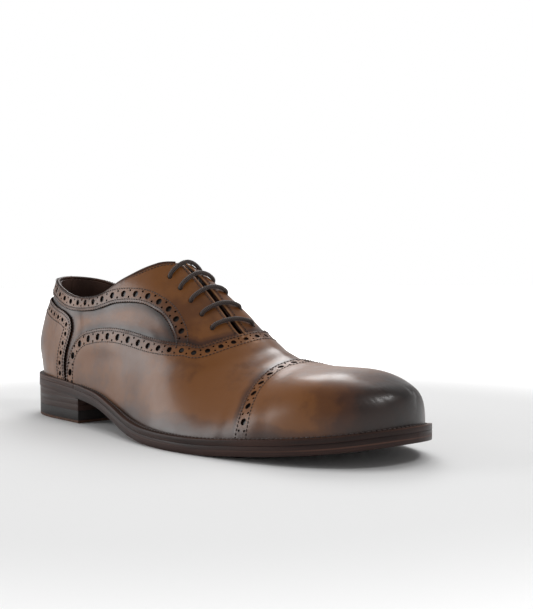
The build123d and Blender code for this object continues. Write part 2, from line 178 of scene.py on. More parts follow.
def upper_section(x, z):
    """Middle and half width of the upper at x and z; a negative half width is outside it."""
    top = ridge(x)
    t = np.clip((z - feather(x)) / (top - feather(x)), 0, 1)
    back = along(BACK, np.clip(z, 18, 110))
    width = along(HALF_WIDTH, x) - along(FEATHER_INSET, x)
    width = width * rounded_ends(x, back, UPPER_FRONT, 44, 88, 2.9)
    width = width * (1 - t ** along(TOP_POWER, x)) ** (1 / along(SIDE_POWER, x))
    middle = along(CENTRE, x) * (1 - t) + along(RIDGE_Y, x) * t
    inside = (z < top) & (x > back) & (x < UPPER_FRONT)
    return middle, np.where(inside, width, -1.0)


def unit(v):
    """Vectors of length 1."""
    return v / np.maximum(np.linalg.norm(v, axis=-1, keepdims=True), 1e-9)


class Last:
    """The upper's outer surface as a chart: a runs heel to toe, b from outer to inner feather."""

    def __init__(self, stations=220, across=221, drop=4.0):
        foot = np.linspace(22, 284, stations)
        lean = np.radians(80 * np.clip((foot - 236) / 48, 0, 1) ** 1.5
                          - 84 * np.clip((62 - foot) / 40, 0, 1) ** 1.3)
        angle = np.linspace(0, np.pi, 241)
        x0, turn = np.meshgrid(foot, angle, indexing="ij")
        lean, base = lean[:, None], (feather(foot) - drop)[:, None]
        y0 = along(CENTRE, foot)[:, None]

        def at(reach):
            up = reach * np.sin(turn)
            return x0 + up * np.sin(lean), y0 - reach * np.cos(turn), base + up * np.cos(lean)

        near, far = np.zeros_like(turn), np.full_like(turn, 260.0)
        for _ in range(34):
            reach = (near + far) / 2
            x, y, z = at(reach)
            middle, width = upper_section(x, z)
            inside = np.abs(y - middle) < width
            near, far = np.where(inside, reach, near), np.where(inside, far, reach)
        arches = np.stack(at(near), axis=-1)
        self.grid = np.empty((stations, across, 3))
        for i, arch in enumerate(arches):
            run = np.r_[0, np.cumsum(np.linalg.norm(np.diff(arch, axis=0), axis=1))]
            even = np.linspace(0, run[-1], across)
            for k in range(3):
                self.grid[i, :, k] = np.interp(even, run, arch[:, k])
        self.round_off(foot)
        da, db = np.gradient(self.grid, axis=0), np.gradient(self.grid, axis=1)
        self.da, self.db = da * (stations - 1), db * (across - 1)
        self.normals = unit(np.cross(da, db))
        self.tree = kdtree.KDTree(stations * across)
        for index, point in enumerate(self.grid.reshape(-1, 3)):
            self.tree.insert(point, index)
        self.tree.balance()
        self.size = np.array([stations - 1, across - 1])

    def round_off(self, foot, passes=26):
        """Ease the tightest bends at the tip of the toe and the foot of the heel."""
        share = np.clip((foot - 268) / 8, 0, 1) + np.clip((34 - foot) / 6, 0, 1)
        share = 0.5 * share[1:-1, None, None]
        for _ in range(passes):
            g = self.grid
            mean = (g[2:, 1:-1] + g[:-2, 1:-1] + g[1:-1, 2:] + g[1:-1, :-2]) / 4
            g[1:-1, 1:-1] += share * (mean - g[1:-1, 1:-1])

    def sample(self, field, ab):
        """Values of a field of the chart at points ab."""
        ab = np.clip(np.asarray(ab, float), 0, 1) * self.size
        low = np.minimum(ab.astype(int), self.size - 1)
        t = ab - low
        i, j = low[:, 0], low[:, 1]
        s, r = t[:, :1], t[:, 1:]
        return ((1 - s) * (1 - r) * field[i, j] + s * (1 - r) * field[i + 1, j]
                + (1 - s) * r * field[i, j + 1] + s * r * field[i + 1, j + 1])

    def points(self, ab, height=0.0):
        """Points this far above the surface."""
        height = np.broadcast_to(np.asarray(height, float), (len(ab),))[:, None]
        return self.sample(self.grid, ab) + unit(self.sample(self.normals, ab)) * height

    def frames(self, ab):
        """The surface normal and the chart's two directions at points ab."""
        return (unit(self.sample(self.normals, ab)), self.sample(self.da, ab),
                self.sample(self.db, ab))

    def shift(self, ab, move):
        """Chart points moved by small vectors that lie in the surface."""
        _, da, db = self.frames(ab)
        aa, bb, cross = (da * da).sum(1), (db * db).sum(1), (da * db).sum(1)
        ma, mb = (da * move).sum(1), (db * move).sum(1)
        det = np.maximum(aa * bb - cross**2, 1e-6)
        return np.clip(ab + np.stack([(bb * ma - cross * mb) / det,
                                      (aa * mb - cross * ma) / det], axis=1), 0, 1)

    def locate(self, points):
        """Chart points nearest to points in space."""
        points = np.asarray(points, float)
        across = self.size[1] + 1
        found = [self.tree.find(p)[1] for p in points]
        ab = np.array([(k // across, k % across) for k in found], float) / self.size
        for _ in range(3):
            ab = self.shift(ab, points - self.points(ab))
        return ab


LAST = Last()


def top_point(x, y):
    """Point of the upper seen from above at x and y."""
    low, high = float(feather(x)), 160.0
    for _ in range(40):
        mid = (low + high) / 2
        middle, width = upper_section(x, mid)
        low, high = (mid, high) if abs(y - middle) < width else (low, mid)
    return np.array([x, y, low])


def back_point(z):
    """Point on the back seam."""
    back = float(along(BACK, z))
    return np.array([back, float(upper_section(back + 1, z)[0]), z])


def sides(table, side):
    """Closely set points of a side table on one side of the shoe."""
    table = np.asarray(table, float)
    run = np.r_[0, np.cumsum(np.hypot(*np.diff(table, axis=0).T))]
    fine = np.linspace(0, run[-1], int(run[-1] / 0.15))
    x, z = (along(list(zip(run, table[:, k])), fine) for k in (0, 1))
    middle, width = upper_section(x, z)
    points = np.column_stack([x, middle + side * width, z])
    return list(points[width > 0])


def tops(table):
    """Points of a plan table."""
    return [top_point(x, y) for x, y in table]


def resample(points, step):
    """Smooth curve through points in space, at even steps."""
    points = np.asarray(points, float)
    apart = np.linalg.norm(np.diff(points, axis=0), axis=1)
    points = points[np.r_[True, apart > 1e-4]]
    run = np.r_[0, np.cumsum(np.linalg.norm(np.diff(points, axis=0), axis=1))]
    fine = np.linspace(0, run[-1], max(int(run[-1] / 0.25), 8))
    curve = np.stack([along(list(zip(run, points[:, k])), fine) for k in range(3)], axis=1)
    run = np.r_[0, np.cumsum(np.linalg.norm(np.diff(curve, axis=0), axis=1))]
    even = np.linspace(0, run[-1], max(int(round(run[-1] / step)), 2) + 1)
    return np.stack([np.interp(even, run, curve[:, k]) for k in range(3)], axis=1)


def trace(points, step=1.0):
    """Chart points of the smooth curve through points in space."""
    return LAST.locate(resample(points, step))


def offset(ab, distance):
    """A traced curve moved sideways within the surface, to its left."""
    points = LAST.points(ab)
    ahead = unit(np.gradient(points, axis=0))
    normal = LAST.frames(ab)[0]
    left = unit(np.cross(normal, ahead))
    return LAST.locate(points + left * np.broadcast_to(distance, (len(ab),))[:, None])


def run_to(start, end, step=2.5):
    """Straight line in the chart between two chart points, without its ends."""
    start, end = np.array(start, float), np.array(end, float)
    fine = start + (end - start) * np.linspace(0, 1, 60)[:, None]
    length = np.linalg.norm(np.diff(LAST.points(fine), axis=0), axis=1).sum()
    count = max(int(length / step), 1)
    return start + (end - start) * (np.arange(1, count) / count)[:, None]


def gimped(ab, depth=0.85, pitch=1.9):
    """A seam's edge cut to fine teeth."""
    points = LAST.points(ab)
    edge = resample(points, pitch / 2)
    ab = LAST.locate(edge)
    teeth = np.where(np.arange(len(ab)) % 2, depth, 0.0)
    teeth[[0, -1]] = 0
    return offset(ab, -teeth)


# Panel patterns: chart's size and the mesh's fineness, in mm
CHART_SIZE = np.array([300.0, 220.0])
PATTERN_ROWS = 150        # rows of points from heel to toe
PATTERN_STEP = 2.6        # between the points of a row
ROLL_ROWS = (0.5, 1.1)    # extra rows beside an edge that is rounded over
HOLE_REACH = 0.03         # share of the chart that one hole can't reach past


def inside(loop, ab):
    """Whether chart points lie inside a closed loop."""
    result = np.zeros(len(ab), bool)
    x, y = ab[:, 0], ab[:, 1]
    for (x0, y0), (x1, y1) in zip(loop, np.roll(loop, -1, axis=0)):
        if y0 == y1:
            continue
        crosses = (y0 > y) != (y1 > y)
        result ^= crosses & (x < (x1 - x0) * (y - y0) / (y1 - y0) + x0)
    return result


def nearest(points, targets):
    """Distance from each point to the nearest target."""
    tree = kdtree.KDTree(len(targets))
    for index, target in enumerate(targets):
        tree.insert(target, index)
    tree.balance()
    return np.array([tree.find(p)[2] for p in points])


def holes_along(ab, distance, start=5.0, pitch=((0, HOLE_PITCH), (1, HOLE_PITCH)), size=0.2):
    """Rings in the chart: a row of large holes with two small ones between each pair."""
    row = resample(LAST.points(offset(ab, distance)), 0.25)
    length = 0.25 * (len(row) - 1)
    places = [start]
    while places[-1] < length - 3.5:
        places.append(places[-1] + float(along(pitch, places[-1] / length)) / 4)
    places = np.array(places[:-1])
    row = np.stack([np.interp(places, np.linspace(0, length, len(row)), row[:, k])
                    for k in range(3)], axis=1)
    ab = LAST.locate(row)
    normal, _, _ = LAST.frames(ab)
    ahead = unit(np.gradient(row, axis=0))
    left = np.cross(normal, ahead)
    rings = []
    gaps = along(pitch, places / length)
    for i, gap in enumerate(gaps):
        place = i % 4
        if place == 0:
            spots = [(0.0, gap * size, 16)]
        elif place == 2:
            spots = [(gap * 0.2, gap * 0.075, 8), (-gap * 0.2, gap * 0.075, 8)]
        else:
            continue
        for across, radius, count in spots:
            turn = np.linspace(0, 2 * np.pi, count, endpoint=False)[:, None]
            centre = np.repeat(ab[i:i + 1], count, axis=0)
            move = (left[i] * (across + radius * np.sin(turn)) + ahead[i] * radius * np.cos(turn))
            rings.append(LAST.shift(centre, move))
    return rings


# One stitch from end to end, as (place along it, girth, height in the rise)
STITCH_PROFILE = ((-0.5, 0.25, -0.5), (-0.3, 0.9, 0.5), (0.0, 1.0, 1.0), (0.3, 0.9, 0.5),
                  (0.5, 0.25, -0.5))
WELT_STITCH_PROFILE = ((-0.5, 0.3, 0.0), (-0.3, 0.9, 0.0), (0.0, 1.0, 0.0), (0.3, 0.9, 0.0),
                       (0.5, 0.3, 0.0))


def activate(piece):
    """Make a piece the only selected and active object."""
    bpy.ops.object.select_all(action="DESELECT")
    piece.select_set(True)
    bpy.context.view_layer.objects.active = piece


def new_mesh(name, points, faces, materials):
    """A piece from points in mm and faces."""
    mesh = bpy.data.meshes.new(name)
    mesh.from_pydata(((np.asarray(points) + SHIFT) * MM).tolist(), [], faces)
    mesh.update()
    piece = bpy.data.objects.new(name, mesh)
    bpy.context.collection.objects.link(piece)
    for material in materials:
        mesh.materials.append(material)
    return piece


def vertices_of(piece):
    """Places of a mesh's vertices."""
    places = np.empty(len(piece.data.vertices) * 3)
    piece.data.vertices.foreach_get("co", places)
    return places.reshape(-1, 3)


def keep_values(piece, name, values):
    """Keep one number with each vertex, for a material to read."""
    piece.data.attributes.new(name, "FLOAT", "POINT").data.foreach_set("value", values)


def turn_outward(piece):
    """Point every face's normal outward."""
    activate(piece)
    bpy.ops.object.mode_set(mode="EDIT")
    bpy.ops.mesh.select_all(action="SELECT")
    bpy.ops.mesh.normals_make_consistent(inside=False)
    bpy.ops.object.mode_set(mode="OBJECT")


def apply_modifier(piece, kind, **settings):
    """Add one modifier with these settings and apply it."""
    activate(piece)
    modifier = piece.modifiers.new(kind.title(), kind)
    for key, value in settings.items():
        setattr(modifier, key, value)
    bpy.ops.object.modifier_apply(modifier=modifier.name)


def smooth(piece, angle=40):
    """Shade smooth except at edges sharper than an angle."""
    activate(piece)
    bpy.ops.object.shade_smooth_by_angle(angle=math.radians(angle))


def settle(piece, body, slot, *nodes):
    """Attach a piece to what it rides on and hide the CAD nodes that it stands for; slot, the name
    of its finish, is not used.
    """
    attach(piece, body)
    if nodes:
        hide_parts(*nodes)
    return piece


def in_holes(rings, ab):
    """Whether chart points lie in one of the holes."""
    result = np.zeros(len(ab), bool)
    for ring in rings:
        close = np.abs(ab - ring.mean(axis=0)).max(axis=1) < HOLE_REACH
        result[close] |= inside(ring, ab[close])
    return result


def flat_pattern(loop, rings, roll):
    """Chart points and triangles of a loop with holes, with fine rows along a rolled edge."""
    grid = []
    for a in np.linspace(0, 1, PATTERN_ROWS):
        line = LAST.points(np.stack([np.full(60, a), np.linspace(0, 1, 60)], axis=1))
        length = np.linalg.norm(np.diff(line, axis=0), axis=1).sum()
        count = max(int(length / PATTERN_STEP), 8)
        grid += [(a, b) for b in (np.arange(count) + 0.5) / count]
    grid = np.array(grid)
    grid = grid[inside(loop, grid)]
    border = np.concatenate([loop, *rings])
    border_points = LAST.points(border)
    inner = [border]
    if roll:
        ring = np.concatenate([loop, loop[:1]])
        for distance in ROLL_ROWS:
            for sign in (1, -1):
                line = offset(ring, sign * distance)[::2]
                near = nearest(LAST.points(line), border_points)
                inner.append(line[(near > distance * 0.8) & inside(loop, line)])
    apart = nearest(LAST.points(grid), border_points)
    inner.append(grid[apart > (1.7 if roll else 1.0)])
    ab = np.concatenate(inner)
    kept = ~in_holes(rings, ab)
    kept[:len(border)] = True
    ab = ab[kept]
    constraints, first = [], 0
    for line in (loop, *rings):
        count = len(line)
        constraints += [(first + i, first + (i + 1) % count) for i in range(count)]
        first += count
    flat = [Vector(p) for p in (ab * CHART_SIZE).tolist()]
    verts, _, faces, _, _, _ = delaunay_2d_cdt(flat, constraints, [], 0, 1e-5)
    ab = np.array([tuple(v) for v in verts]) / CHART_SIZE
    faces = np.array([list(face) for face in faces])
    middle = ab[faces].mean(axis=1)
    faces = faces[inside(loop, middle) & ~in_holes(rings, middle)]
    used = np.unique(faces)
    order = np.full(len(ab), -1)
    order[used] = np.arange(len(used))
    return ab[used], order[faces]


def cut_panel(name, loop, rings=(), height=0.0, raised=(), pressed=(), thickness=LEATHER,
              materials=(), edges=(), roll=0.3, seams=(), covers=(), heel_drop=0.0):
    """A flat pattern with its holes, moulded over the last and given its thickness.

    raised are edge curves near which the panel climbs over the one below; pressed are edges that
    lie under the next panel; edges are those that are seen, which are rounded over a little.
    """
    ab, faces = flat_pattern(loop, rings, roll)
    flat_points = LAST.points(ab)
    lift = np.full(len(ab), float(height))
    for curve in raised:
        t = np.clip((19 - nearest(flat_points, LAST.points(curve))) / 10, 0, 1)
        lift = np.maximum(lift, height + STEP * t * t * (3 - 2 * t))
    for curve in pressed:
        t = np.clip((14 - nearest(flat_points, LAST.points(curve))) / 6, 0, 1)
        lift -= UNDERLAP * t * t * (3 - 2 * t)
    seen = np.full(len(ab), 12.0)
    if len(edges):
        seen = nearest(flat_points, LAST.points(np.concatenate(edges)))
        if roll:
            lift -= roll * np.clip(1 - seen / 1.2, 0, 1) ** 2
    shade = seen + 3.5
    if len(seams):
        shade = np.minimum(shade, nearest(flat_points, LAST.points(np.concatenate(seams))))
    # Points under another panel get near-black painted shade, seen at the bottom of the punched
    # holes and in the gaps beside the overlapping edges.
    painted_underlap_shade = np.zeros(len(ab), bool)
    for cover in covers:
        painted_underlap_shade |= inside(cover, ab)
    lacing = nearest(flat_points, LAST.points(np.concatenate(list(SEAMS.slit.values()))))
    bare = np.clip(1.2 - lacing / 0.9, 0, 1)
    if heel_drop:
        lift -= heel_drop * np.clip((66 - flat_points[:, 0]) / 6, 0, 1)
    points = LAST.points(ab, lift)
    a, b, c = points[faces[:, 0]], points[faces[:, 1]], points[faces[:, 2]]
    outward = (np.cross(b - a, c - a) * LAST.frames(ab[faces[:, 0]])[0]).sum(axis=1) < 0
    faces[outward] = faces[outward][:, ::-1]
    piece = new_mesh(name, points, faces.tolist(), materials)
    for label, values in (("edge", shade), ("painted_underlap_shade", painted_underlap_shade), ("bare", bare)):
        keep_values(piece, label, values.astype(float))
    apply_modifier(piece, "SOLIDIFY", thickness=thickness * MM, offset=-1.0, use_even_offset=False,
                   material_offset_rim=1 if len(materials) > 1 else 0)
    smooth(piece, 50)
    return piece


def ring_faces(first, rings, around):
    """Faces of a closed tube whose rings of vertices follow each other from first on."""
    faces = []
    for ring in range(rings - 1):
        for k in range(around):
            p, q = first + ring * around + k, first + ring * around + (k + 1) % around
            faces.append((p, q, q + around, p + around))
    last = first + (rings - 1) * around
    return faces + [tuple(reversed(range(first, first + around))),
                    tuple(range(last, last + around))]


def beads(row, sizes, frames_of, profile=STITCH_PROFILE):
    """Points and faces of one bead for each place; sizes are length, half width, half height."""
    length, wide, high = sizes
    points, faces = [], []
    for centre, (ahead, across, up, rise) in zip(row, frames_of):
        first = len(points)
        for place, girth, lift in profile:
            middle = centre + ahead * place * length + up * (rise * lift)
            for k in range(6):
                turn = math.pi * k / 3
                points.append(middle + across * (wide * girth * math.cos(turn))
                              + up * (high * girth * math.sin(turn)))
        faces += ring_faces(first, len(profile), 6)
    return points, faces


def bead_row(ab, height, pitch=2.0, length=1.6, width=0.55, rise=0.12):
    """Points and faces of a row of stitches lying along a traced curve."""
    points = LAST.points(ab)
    row = resample(points, pitch)
    ab = LAST.locate(row)
    normal = LAST.frames(ab)[0]
    ahead = unit(np.gradient(row, axis=0))
    across = np.cross(normal, ahead)
    heights = np.broadcast_to(height, (len(points),))
    run = np.r_[0, np.cumsum(np.linalg.norm(np.diff(points, axis=0), axis=1))]
    heights = np.interp(np.linspace(0, run[-1], len(row)), run, heights)
    base = LAST.points(ab, heights)
    frames_of = [(t, s, n, rise) for t, s, n in zip(ahead[1:-1], across[1:-1], normal[1:-1])]
    return beads(base[1:-1], (length, width / 2, width / 2.4), frames_of)


def closed(curves):
    """One closed loop in the chart from curves joined by straight runs."""
    loop = []
    for curve, following in zip(curves, curves[1:] + curves[:1]):
        loop += [curve, run_to(curve[-1], following[0])]
    return np.concatenate(loop)


def corner(a, b):
    """One chart point as a curve."""
    return np.array([[a, b]], float)


def foot(a, side):
    """The chart point on the feather of the outer (-1) or inner (1) side."""
    return corner(a, 0.0 if side < 0 else 1.0)


class Seams:
    """Every seam of the upper as a traced curve, with its panel on its left."""

    def __init__(self):
        cap = sides(CAP_SIDE, -1) + tops(CAP_TOP) + sides(CAP_SIDE, 1)[::-1]
        self.cap = trace(cap[::-1])
        vamp = sides(VAMP_EDGE, -1) + tops(VAMP_THROAT) + sides(VAMP_EDGE, 1)[::-1]
        self.vamp = trace(vamp[::-1])
        self.counter = trace(sides(COUNTER_EDGE, -1) + [back_point(BACK_HEIGHTS["counter"])]
                             + sides(COUNTER_EDGE, 1)[::-1])
        self.topline, self.band, self.slit = {}, {}, {}
        for side in (-1, 1):
            line = [back_point(BACK_HEIGHTS["topline"])] + sides(TOPLINE, side)
            reach = line[-1][1] - SLIT_Y
            turn = tops([(x, SLIT_Y + reach * share) for x, share in FACING_TOP])
            self.topline[side] = trace(line + turn)
            self.band[side] = trace([back_point(BACK_HEIGHTS["band"])] + sides(FACING_EDGE, side))
            y = SLIT_Y + side * SLIT / 2
            self.slit[side] = trace(tops([(x, y) for x in (136, 150, 165, 180, 197)]))


SEAMS = Seams()


def cap_loop():
    return closed([gimped(SEAMS.cap), corner(1, 0), corner(1, 1)])


def vamp_loop():
    front = offset(SEAMS.cap, UNDER)[::-1]
    return closed([gimped(SEAMS.vamp), front])


def counter_loop():
    return closed([gimped(SEAMS.counter), corner(0, 1), corner(0, 0)])


def facing_loop(side):
    """Collar band and lacing facing of one side."""
    throat = tops(VAMP_THROAT)[::-1]
    under_vamp = offset(trace(throat), UNDER)[::-1]
    middle = SLIT_Y + side * SLIT / 2
    y = LAST.points(under_vamp)[:, 1]
    ahead = under_vamp[(y - middle) * side > 0]
    if side > 0:
        ahead = ahead[::-1]
    curves = [gimped(SEAMS.band[side]), ahead, SEAMS.slit[side][::-1], SEAMS.topline[side][::-1]]
    loop = closed(curves)
    return loop if side < 0 else loop[::-1]


def quarter_loop(side):
    """Side panel between the counter, the collar band and the vamp."""
    vamp = SEAMS.vamp if side > 0 else SEAMS.vamp[::-1]
    low = offset(vamp, UNDER * side)[:int(0.37 * len(vamp))]
    band = offset(SEAMS.band[side], -side * UNDER)
    counter = SEAMS.counter if side < 0 else SEAMS.counter[::-1]
    back = offset(counter, -side * UNDER)[:int(0.36 * len(counter))]
    loop = closed([low, band[::-1][:-12], back[::-1]])
    return loop if side < 0 else loop[::-1]


def lining_loop(side):
    """The whole of one side inside the shoe, from the topline to the insole."""
    topline = offset(SEAMS.topline[side], side * 0.5)
    slit = offset(SEAMS.slit[side], side * 0.4)
    front = slit[-1]
    curves = [topline, slit, foot(front[0], side), foot(0.0, side), corner(0.0, 0.5)]
    loop = closed(curves)
    return loop[::-1] if side < 0 else loop


def tube(name, points, radius, materials, sides_count, flat, normals):
    """A closed tube along points in mm, flat times as high as it is wide."""
    ahead = unit(np.gradient(points, axis=0))
    across = unit(np.cross(ahead, normals))
    up = np.cross(across, ahead)
    turn = np.linspace(0, 2 * np.pi, sides_count, endpoint=False)
    rings = (points[:, None] + radius * (across[:, None] * np.cos(turn)[None, :, None]
             + flat * up[:, None] * np.sin(turn)[None, :, None]))
    faces = ring_faces(0, len(points), sides_count)
    piece = new_mesh(name, rings.reshape(-1, 3), faces, materials)
    turn_outward(piece)
    smooth(piece, 60)
    return piece


def stitched(name, rows, materials, pitch):
    """One piece of thread stitches from rows of (traced curve, height)."""
    points, faces = [], []
    for curve, height in rows:
        more, more_faces = bead_row(curve, height, pitch)
        first = len(points)
        points += more
        faces += [tuple(first + k for k in face) for face in more_faces]
    piece = new_mesh(name, points, faces, materials)
    smooth(piece, 80)
    return piece


def sole_half(x, inset):
    """Half width of the sole at x, drawn in by inset."""
    return (along(HALF_WIDTH, x) - inset) * rounded_ends(
        x, inset, LENGTH - inset, HEEL_ROUND - inset, TOE_ROUND - inset, 2.5)


def stations(first, last, count):
    """Places along the sole, close together at its rounded ends."""
    turn = np.linspace(0, np.pi, 400)
    even = LENGTH / 2 * (1 - np.cos(turn))
    low, high = np.interp([first, last], even, turn)
    return LENGTH / 2 * (1 - np.cos(np.linspace(low, high, count)))


def slab(name, left, right, bottom, top, materials, bevel, follows=True):
    """A layer of the bottom between two plan lines and two surfaces, with softened edges."""
    bpy.ops.object.select_all(action="DESELECT")
    bpy.ops.mesh.primitive_grid_add(x_subdivisions=len(left) - 1, y_subdivisions=1, size=1)
    piece = bpy.context.object
    piece.name = piece.data.name = name
    bpy.ops.object.mode_set(mode="EDIT")
    bpy.ops.mesh.select_all(action="SELECT")
    bpy.ops.mesh.extrude_region_move(TRANSFORM_OT_translate={"value": (0, 0, 1)})
    bpy.ops.object.mode_set(mode="OBJECT")
    count = len(left)
    co = vertices_of(piece)
    place = np.rint((co[:, 0] + 0.5) * (count - 1)).astype(int)
    row = np.where((co[:, 1] > 0)[:, None], right[place], left[place])
    high = co[:, 2] > 0.5
    z = np.where(high, top(row[:, 0]), bottom(row[:, 0]))
    shaped = (np.column_stack([row, z]) + SHIFT) * MM
    piece.data.vertices.foreach_set("co", shaped.ravel())
    turn_outward(piece)
    for material in materials:
        piece.data.materials.append(material)
    apply_modifier(piece, "BEVEL", width=bevel * MM, segments=2, limit_method="ANGLE",
                   angle_limit=math.radians(60), use_clamp_overlap=False)
    smooth(piece, 35)
    places = vertices_of(piece) / MM - SHIFT
    layer = places[:, 2] - (along(UNDERSIDE, places[:, 0]) if follows else 0.0)
    keep_values(piece, "layer", layer * MM)
    return piece


def outline_pair(first, last, count, inset):
    """Both edges of the sole between two places, as plan points."""
    x = stations(first, last, count)
    half, middle = sole_half(x, inset), along(CENTRE, x)
    return np.column_stack([x, middle - half]), np.column_stack([x, middle + half])


def rim_pair(first, last, count, inset, width):
    """The sole's edge and a line inside it, round one end of the sole."""
    lines = []
    for drawn in (inset, inset + width):
        low = max(first, drawn) if first < 1 else first
        high = min(last, LENGTH - drawn) if last > LENGTH - 1 else last
        x = stations(low, high, count) if drawn == inset else low + (high - low) * (
            lines[0][0][:count, 0] - first) / (last - first)
        half, middle = sole_half(x, drawn), along(CENTRE, x)
        outer, inner = np.column_stack([x, middle - half]), np.column_stack([x, middle + half])
        lines.append((outer, inner))
    if first < 1:
        return [np.concatenate([outer[::-1], inner[1:]]) for outer, inner in lines]
    return [np.concatenate([outer, inner[::-1][1:]]) for outer, inner in lines]


def above(height):
    """Surface at a height above the underside of the sole."""
    return lambda x: along(UNDERSIDE, x) + height


def level(height):
    """Flat surface, or the underside of the sole where that is lower."""
    return lambda x: np.minimum(height, along(UNDERSIDE, x))


# ---------------------------------------------------------------- materials


def colour(red, green, blue):
    """A screen colour (0 to 255) as scene-linear values."""
    return tuple((c / 255 / 12.92 if c / 255 <= 0.04045 else ((c / 255 + 0.055) / 1.055) ** 2.4)
                 for c in (red, green, blue)) + (1.0,)


class Finish:
    """A material being put together from nodes."""

    def __init__(self, name, **settings):
        self.material = bpy.data.materials.new(name)
        self.material.use_nodes = True
        self.tree = self.material.node_tree
        self.shader = self.tree.nodes["Principled BSDF"]
        for key, value in settings.items():
            self.shader.inputs[key.replace("_", " ")].default_value = value
        self.coordinates = self.tree.nodes.new("ShaderNodeTexCoord").outputs["Object"]

    def node(self, kind, links=(), **settings):
        """A node with its inputs set by name and its links made."""
        node = self.tree.nodes.new("ShaderNode" + kind)
        for key, value in settings.items():
            if key in node.inputs:
                node.inputs[key].default_value = value
            else:
                setattr(node, key, value)
        for name, source in dict(links).items():
            self.tree.links.new(source, node.inputs[name])
        return node

    def stretched(self, x, y, z):
        """Object coordinates scaled along each axis."""
        return self.node("Mapping", {"Vector": self.coordinates}, Scale=(x, y, z)).outputs[0]

    def noise(self, scale, detail=3.0, roughness=0.5, vector=None):
        """Noise between 0 and 1."""
        return self.node("TexNoise", {"Vector": vector or self.coordinates}, Scale=scale,
                         Detail=detail, Roughness=roughness).outputs["Fac"]

    def attribute(self, name):
        """A number kept with the mesh's points."""
        return self.node("Attribute", attribute_name=name).outputs["Fac"]

    def math(self, operation, first, second=0.0, clamp=False):
        """One sum; either side may be a socket or a number."""
        node = self.tree.nodes.new("ShaderNodeMath")
        node.operation, node.use_clamp = operation, clamp
        for socket, value in zip(node.inputs, (first, second)):
            if isinstance(value, (int, float)):
                socket.default_value = value
            else:
                self.tree.links.new(value, socket)
        return node.outputs[0]

    def between(self, value, low, high, to_low=0.0, to_high=1.0):
        """A value carried from one range to another, with soft ends."""
        node = self.tree.nodes.new("ShaderNodeMapRange")
        node.interpolation_type = "SMOOTHSTEP"
        self.tree.links.new(value, node.inputs["Value"])
        for name, number in zip(("From Min", "From Max", "To Min", "To Max"),
                                (low, high, to_low, to_high)):
            node.inputs[name].default_value = number
        return node.outputs[0]

    def ramp(self, value, *stops):
        """A colour ramp of (place, colour)."""
        node = self.tree.nodes.new("ShaderNodeValToRGB")
        ramp = node.color_ramp
        ramp.interpolation = "EASE"
        for _ in stops[2:]:
            ramp.elements.new(0.5)
        for element, (place, shade) in zip(ramp.elements, stops):
            element.position, element.color = place, shade
        self.tree.links.new(value, node.inputs["Fac"])
        return node.outputs["Color"]

    def mix(self, share, first, second, blend="MIX"):
        """Two colours mixed by a share."""
        node = self.tree.nodes.new("ShaderNodeMix")
        node.data_type, node.blend_type = "RGBA", blend
        for name, value in (("Factor", share), ("A", first), ("B", second)):
            index = {"Factor": 0, "A": 6, "B": 7}[name]
            if isinstance(value, (int, float, tuple)):
                node.inputs[index].default_value = value
            else:
                self.tree.links.new(value, node.inputs[index])
        return node.outputs[2]

    def place(self):
        """The object's x, y and z as three sockets."""
        return self.node("SeparateXYZ", {"Vector": self.coordinates}).outputs

    def bump(self, height, strength, distance, normal=None):
        """A bump, on top of another where one is given."""
        links = {"Height": height}
        if normal:
            links["Normal"] = normal
        return self.node("Bump", links, Strength=strength, Distance=distance).outputs[0]

    def finish(self, **sockets):
        """Link the shader's sockets and hand the material over."""
        for key, source in sockets.items():
            self.tree.links.new(source, self.shader.inputs[key.replace("_", " ")])
        return self.material


# Where the burnishing of the toe and heel starts and where it is full, along the shoe in m; where
# the darkening towards the feather starts and where it is full, above the floor in m; and the width
# of the burnishing beside a seam in mm
TOE_BURNISH = (0.112, 0.150)
HEEL_BURNISH = (-0.118, -0.152)
FEATHER_DARKENING = (0.022, 0.008)
SEAM_BURNISH = 7.5


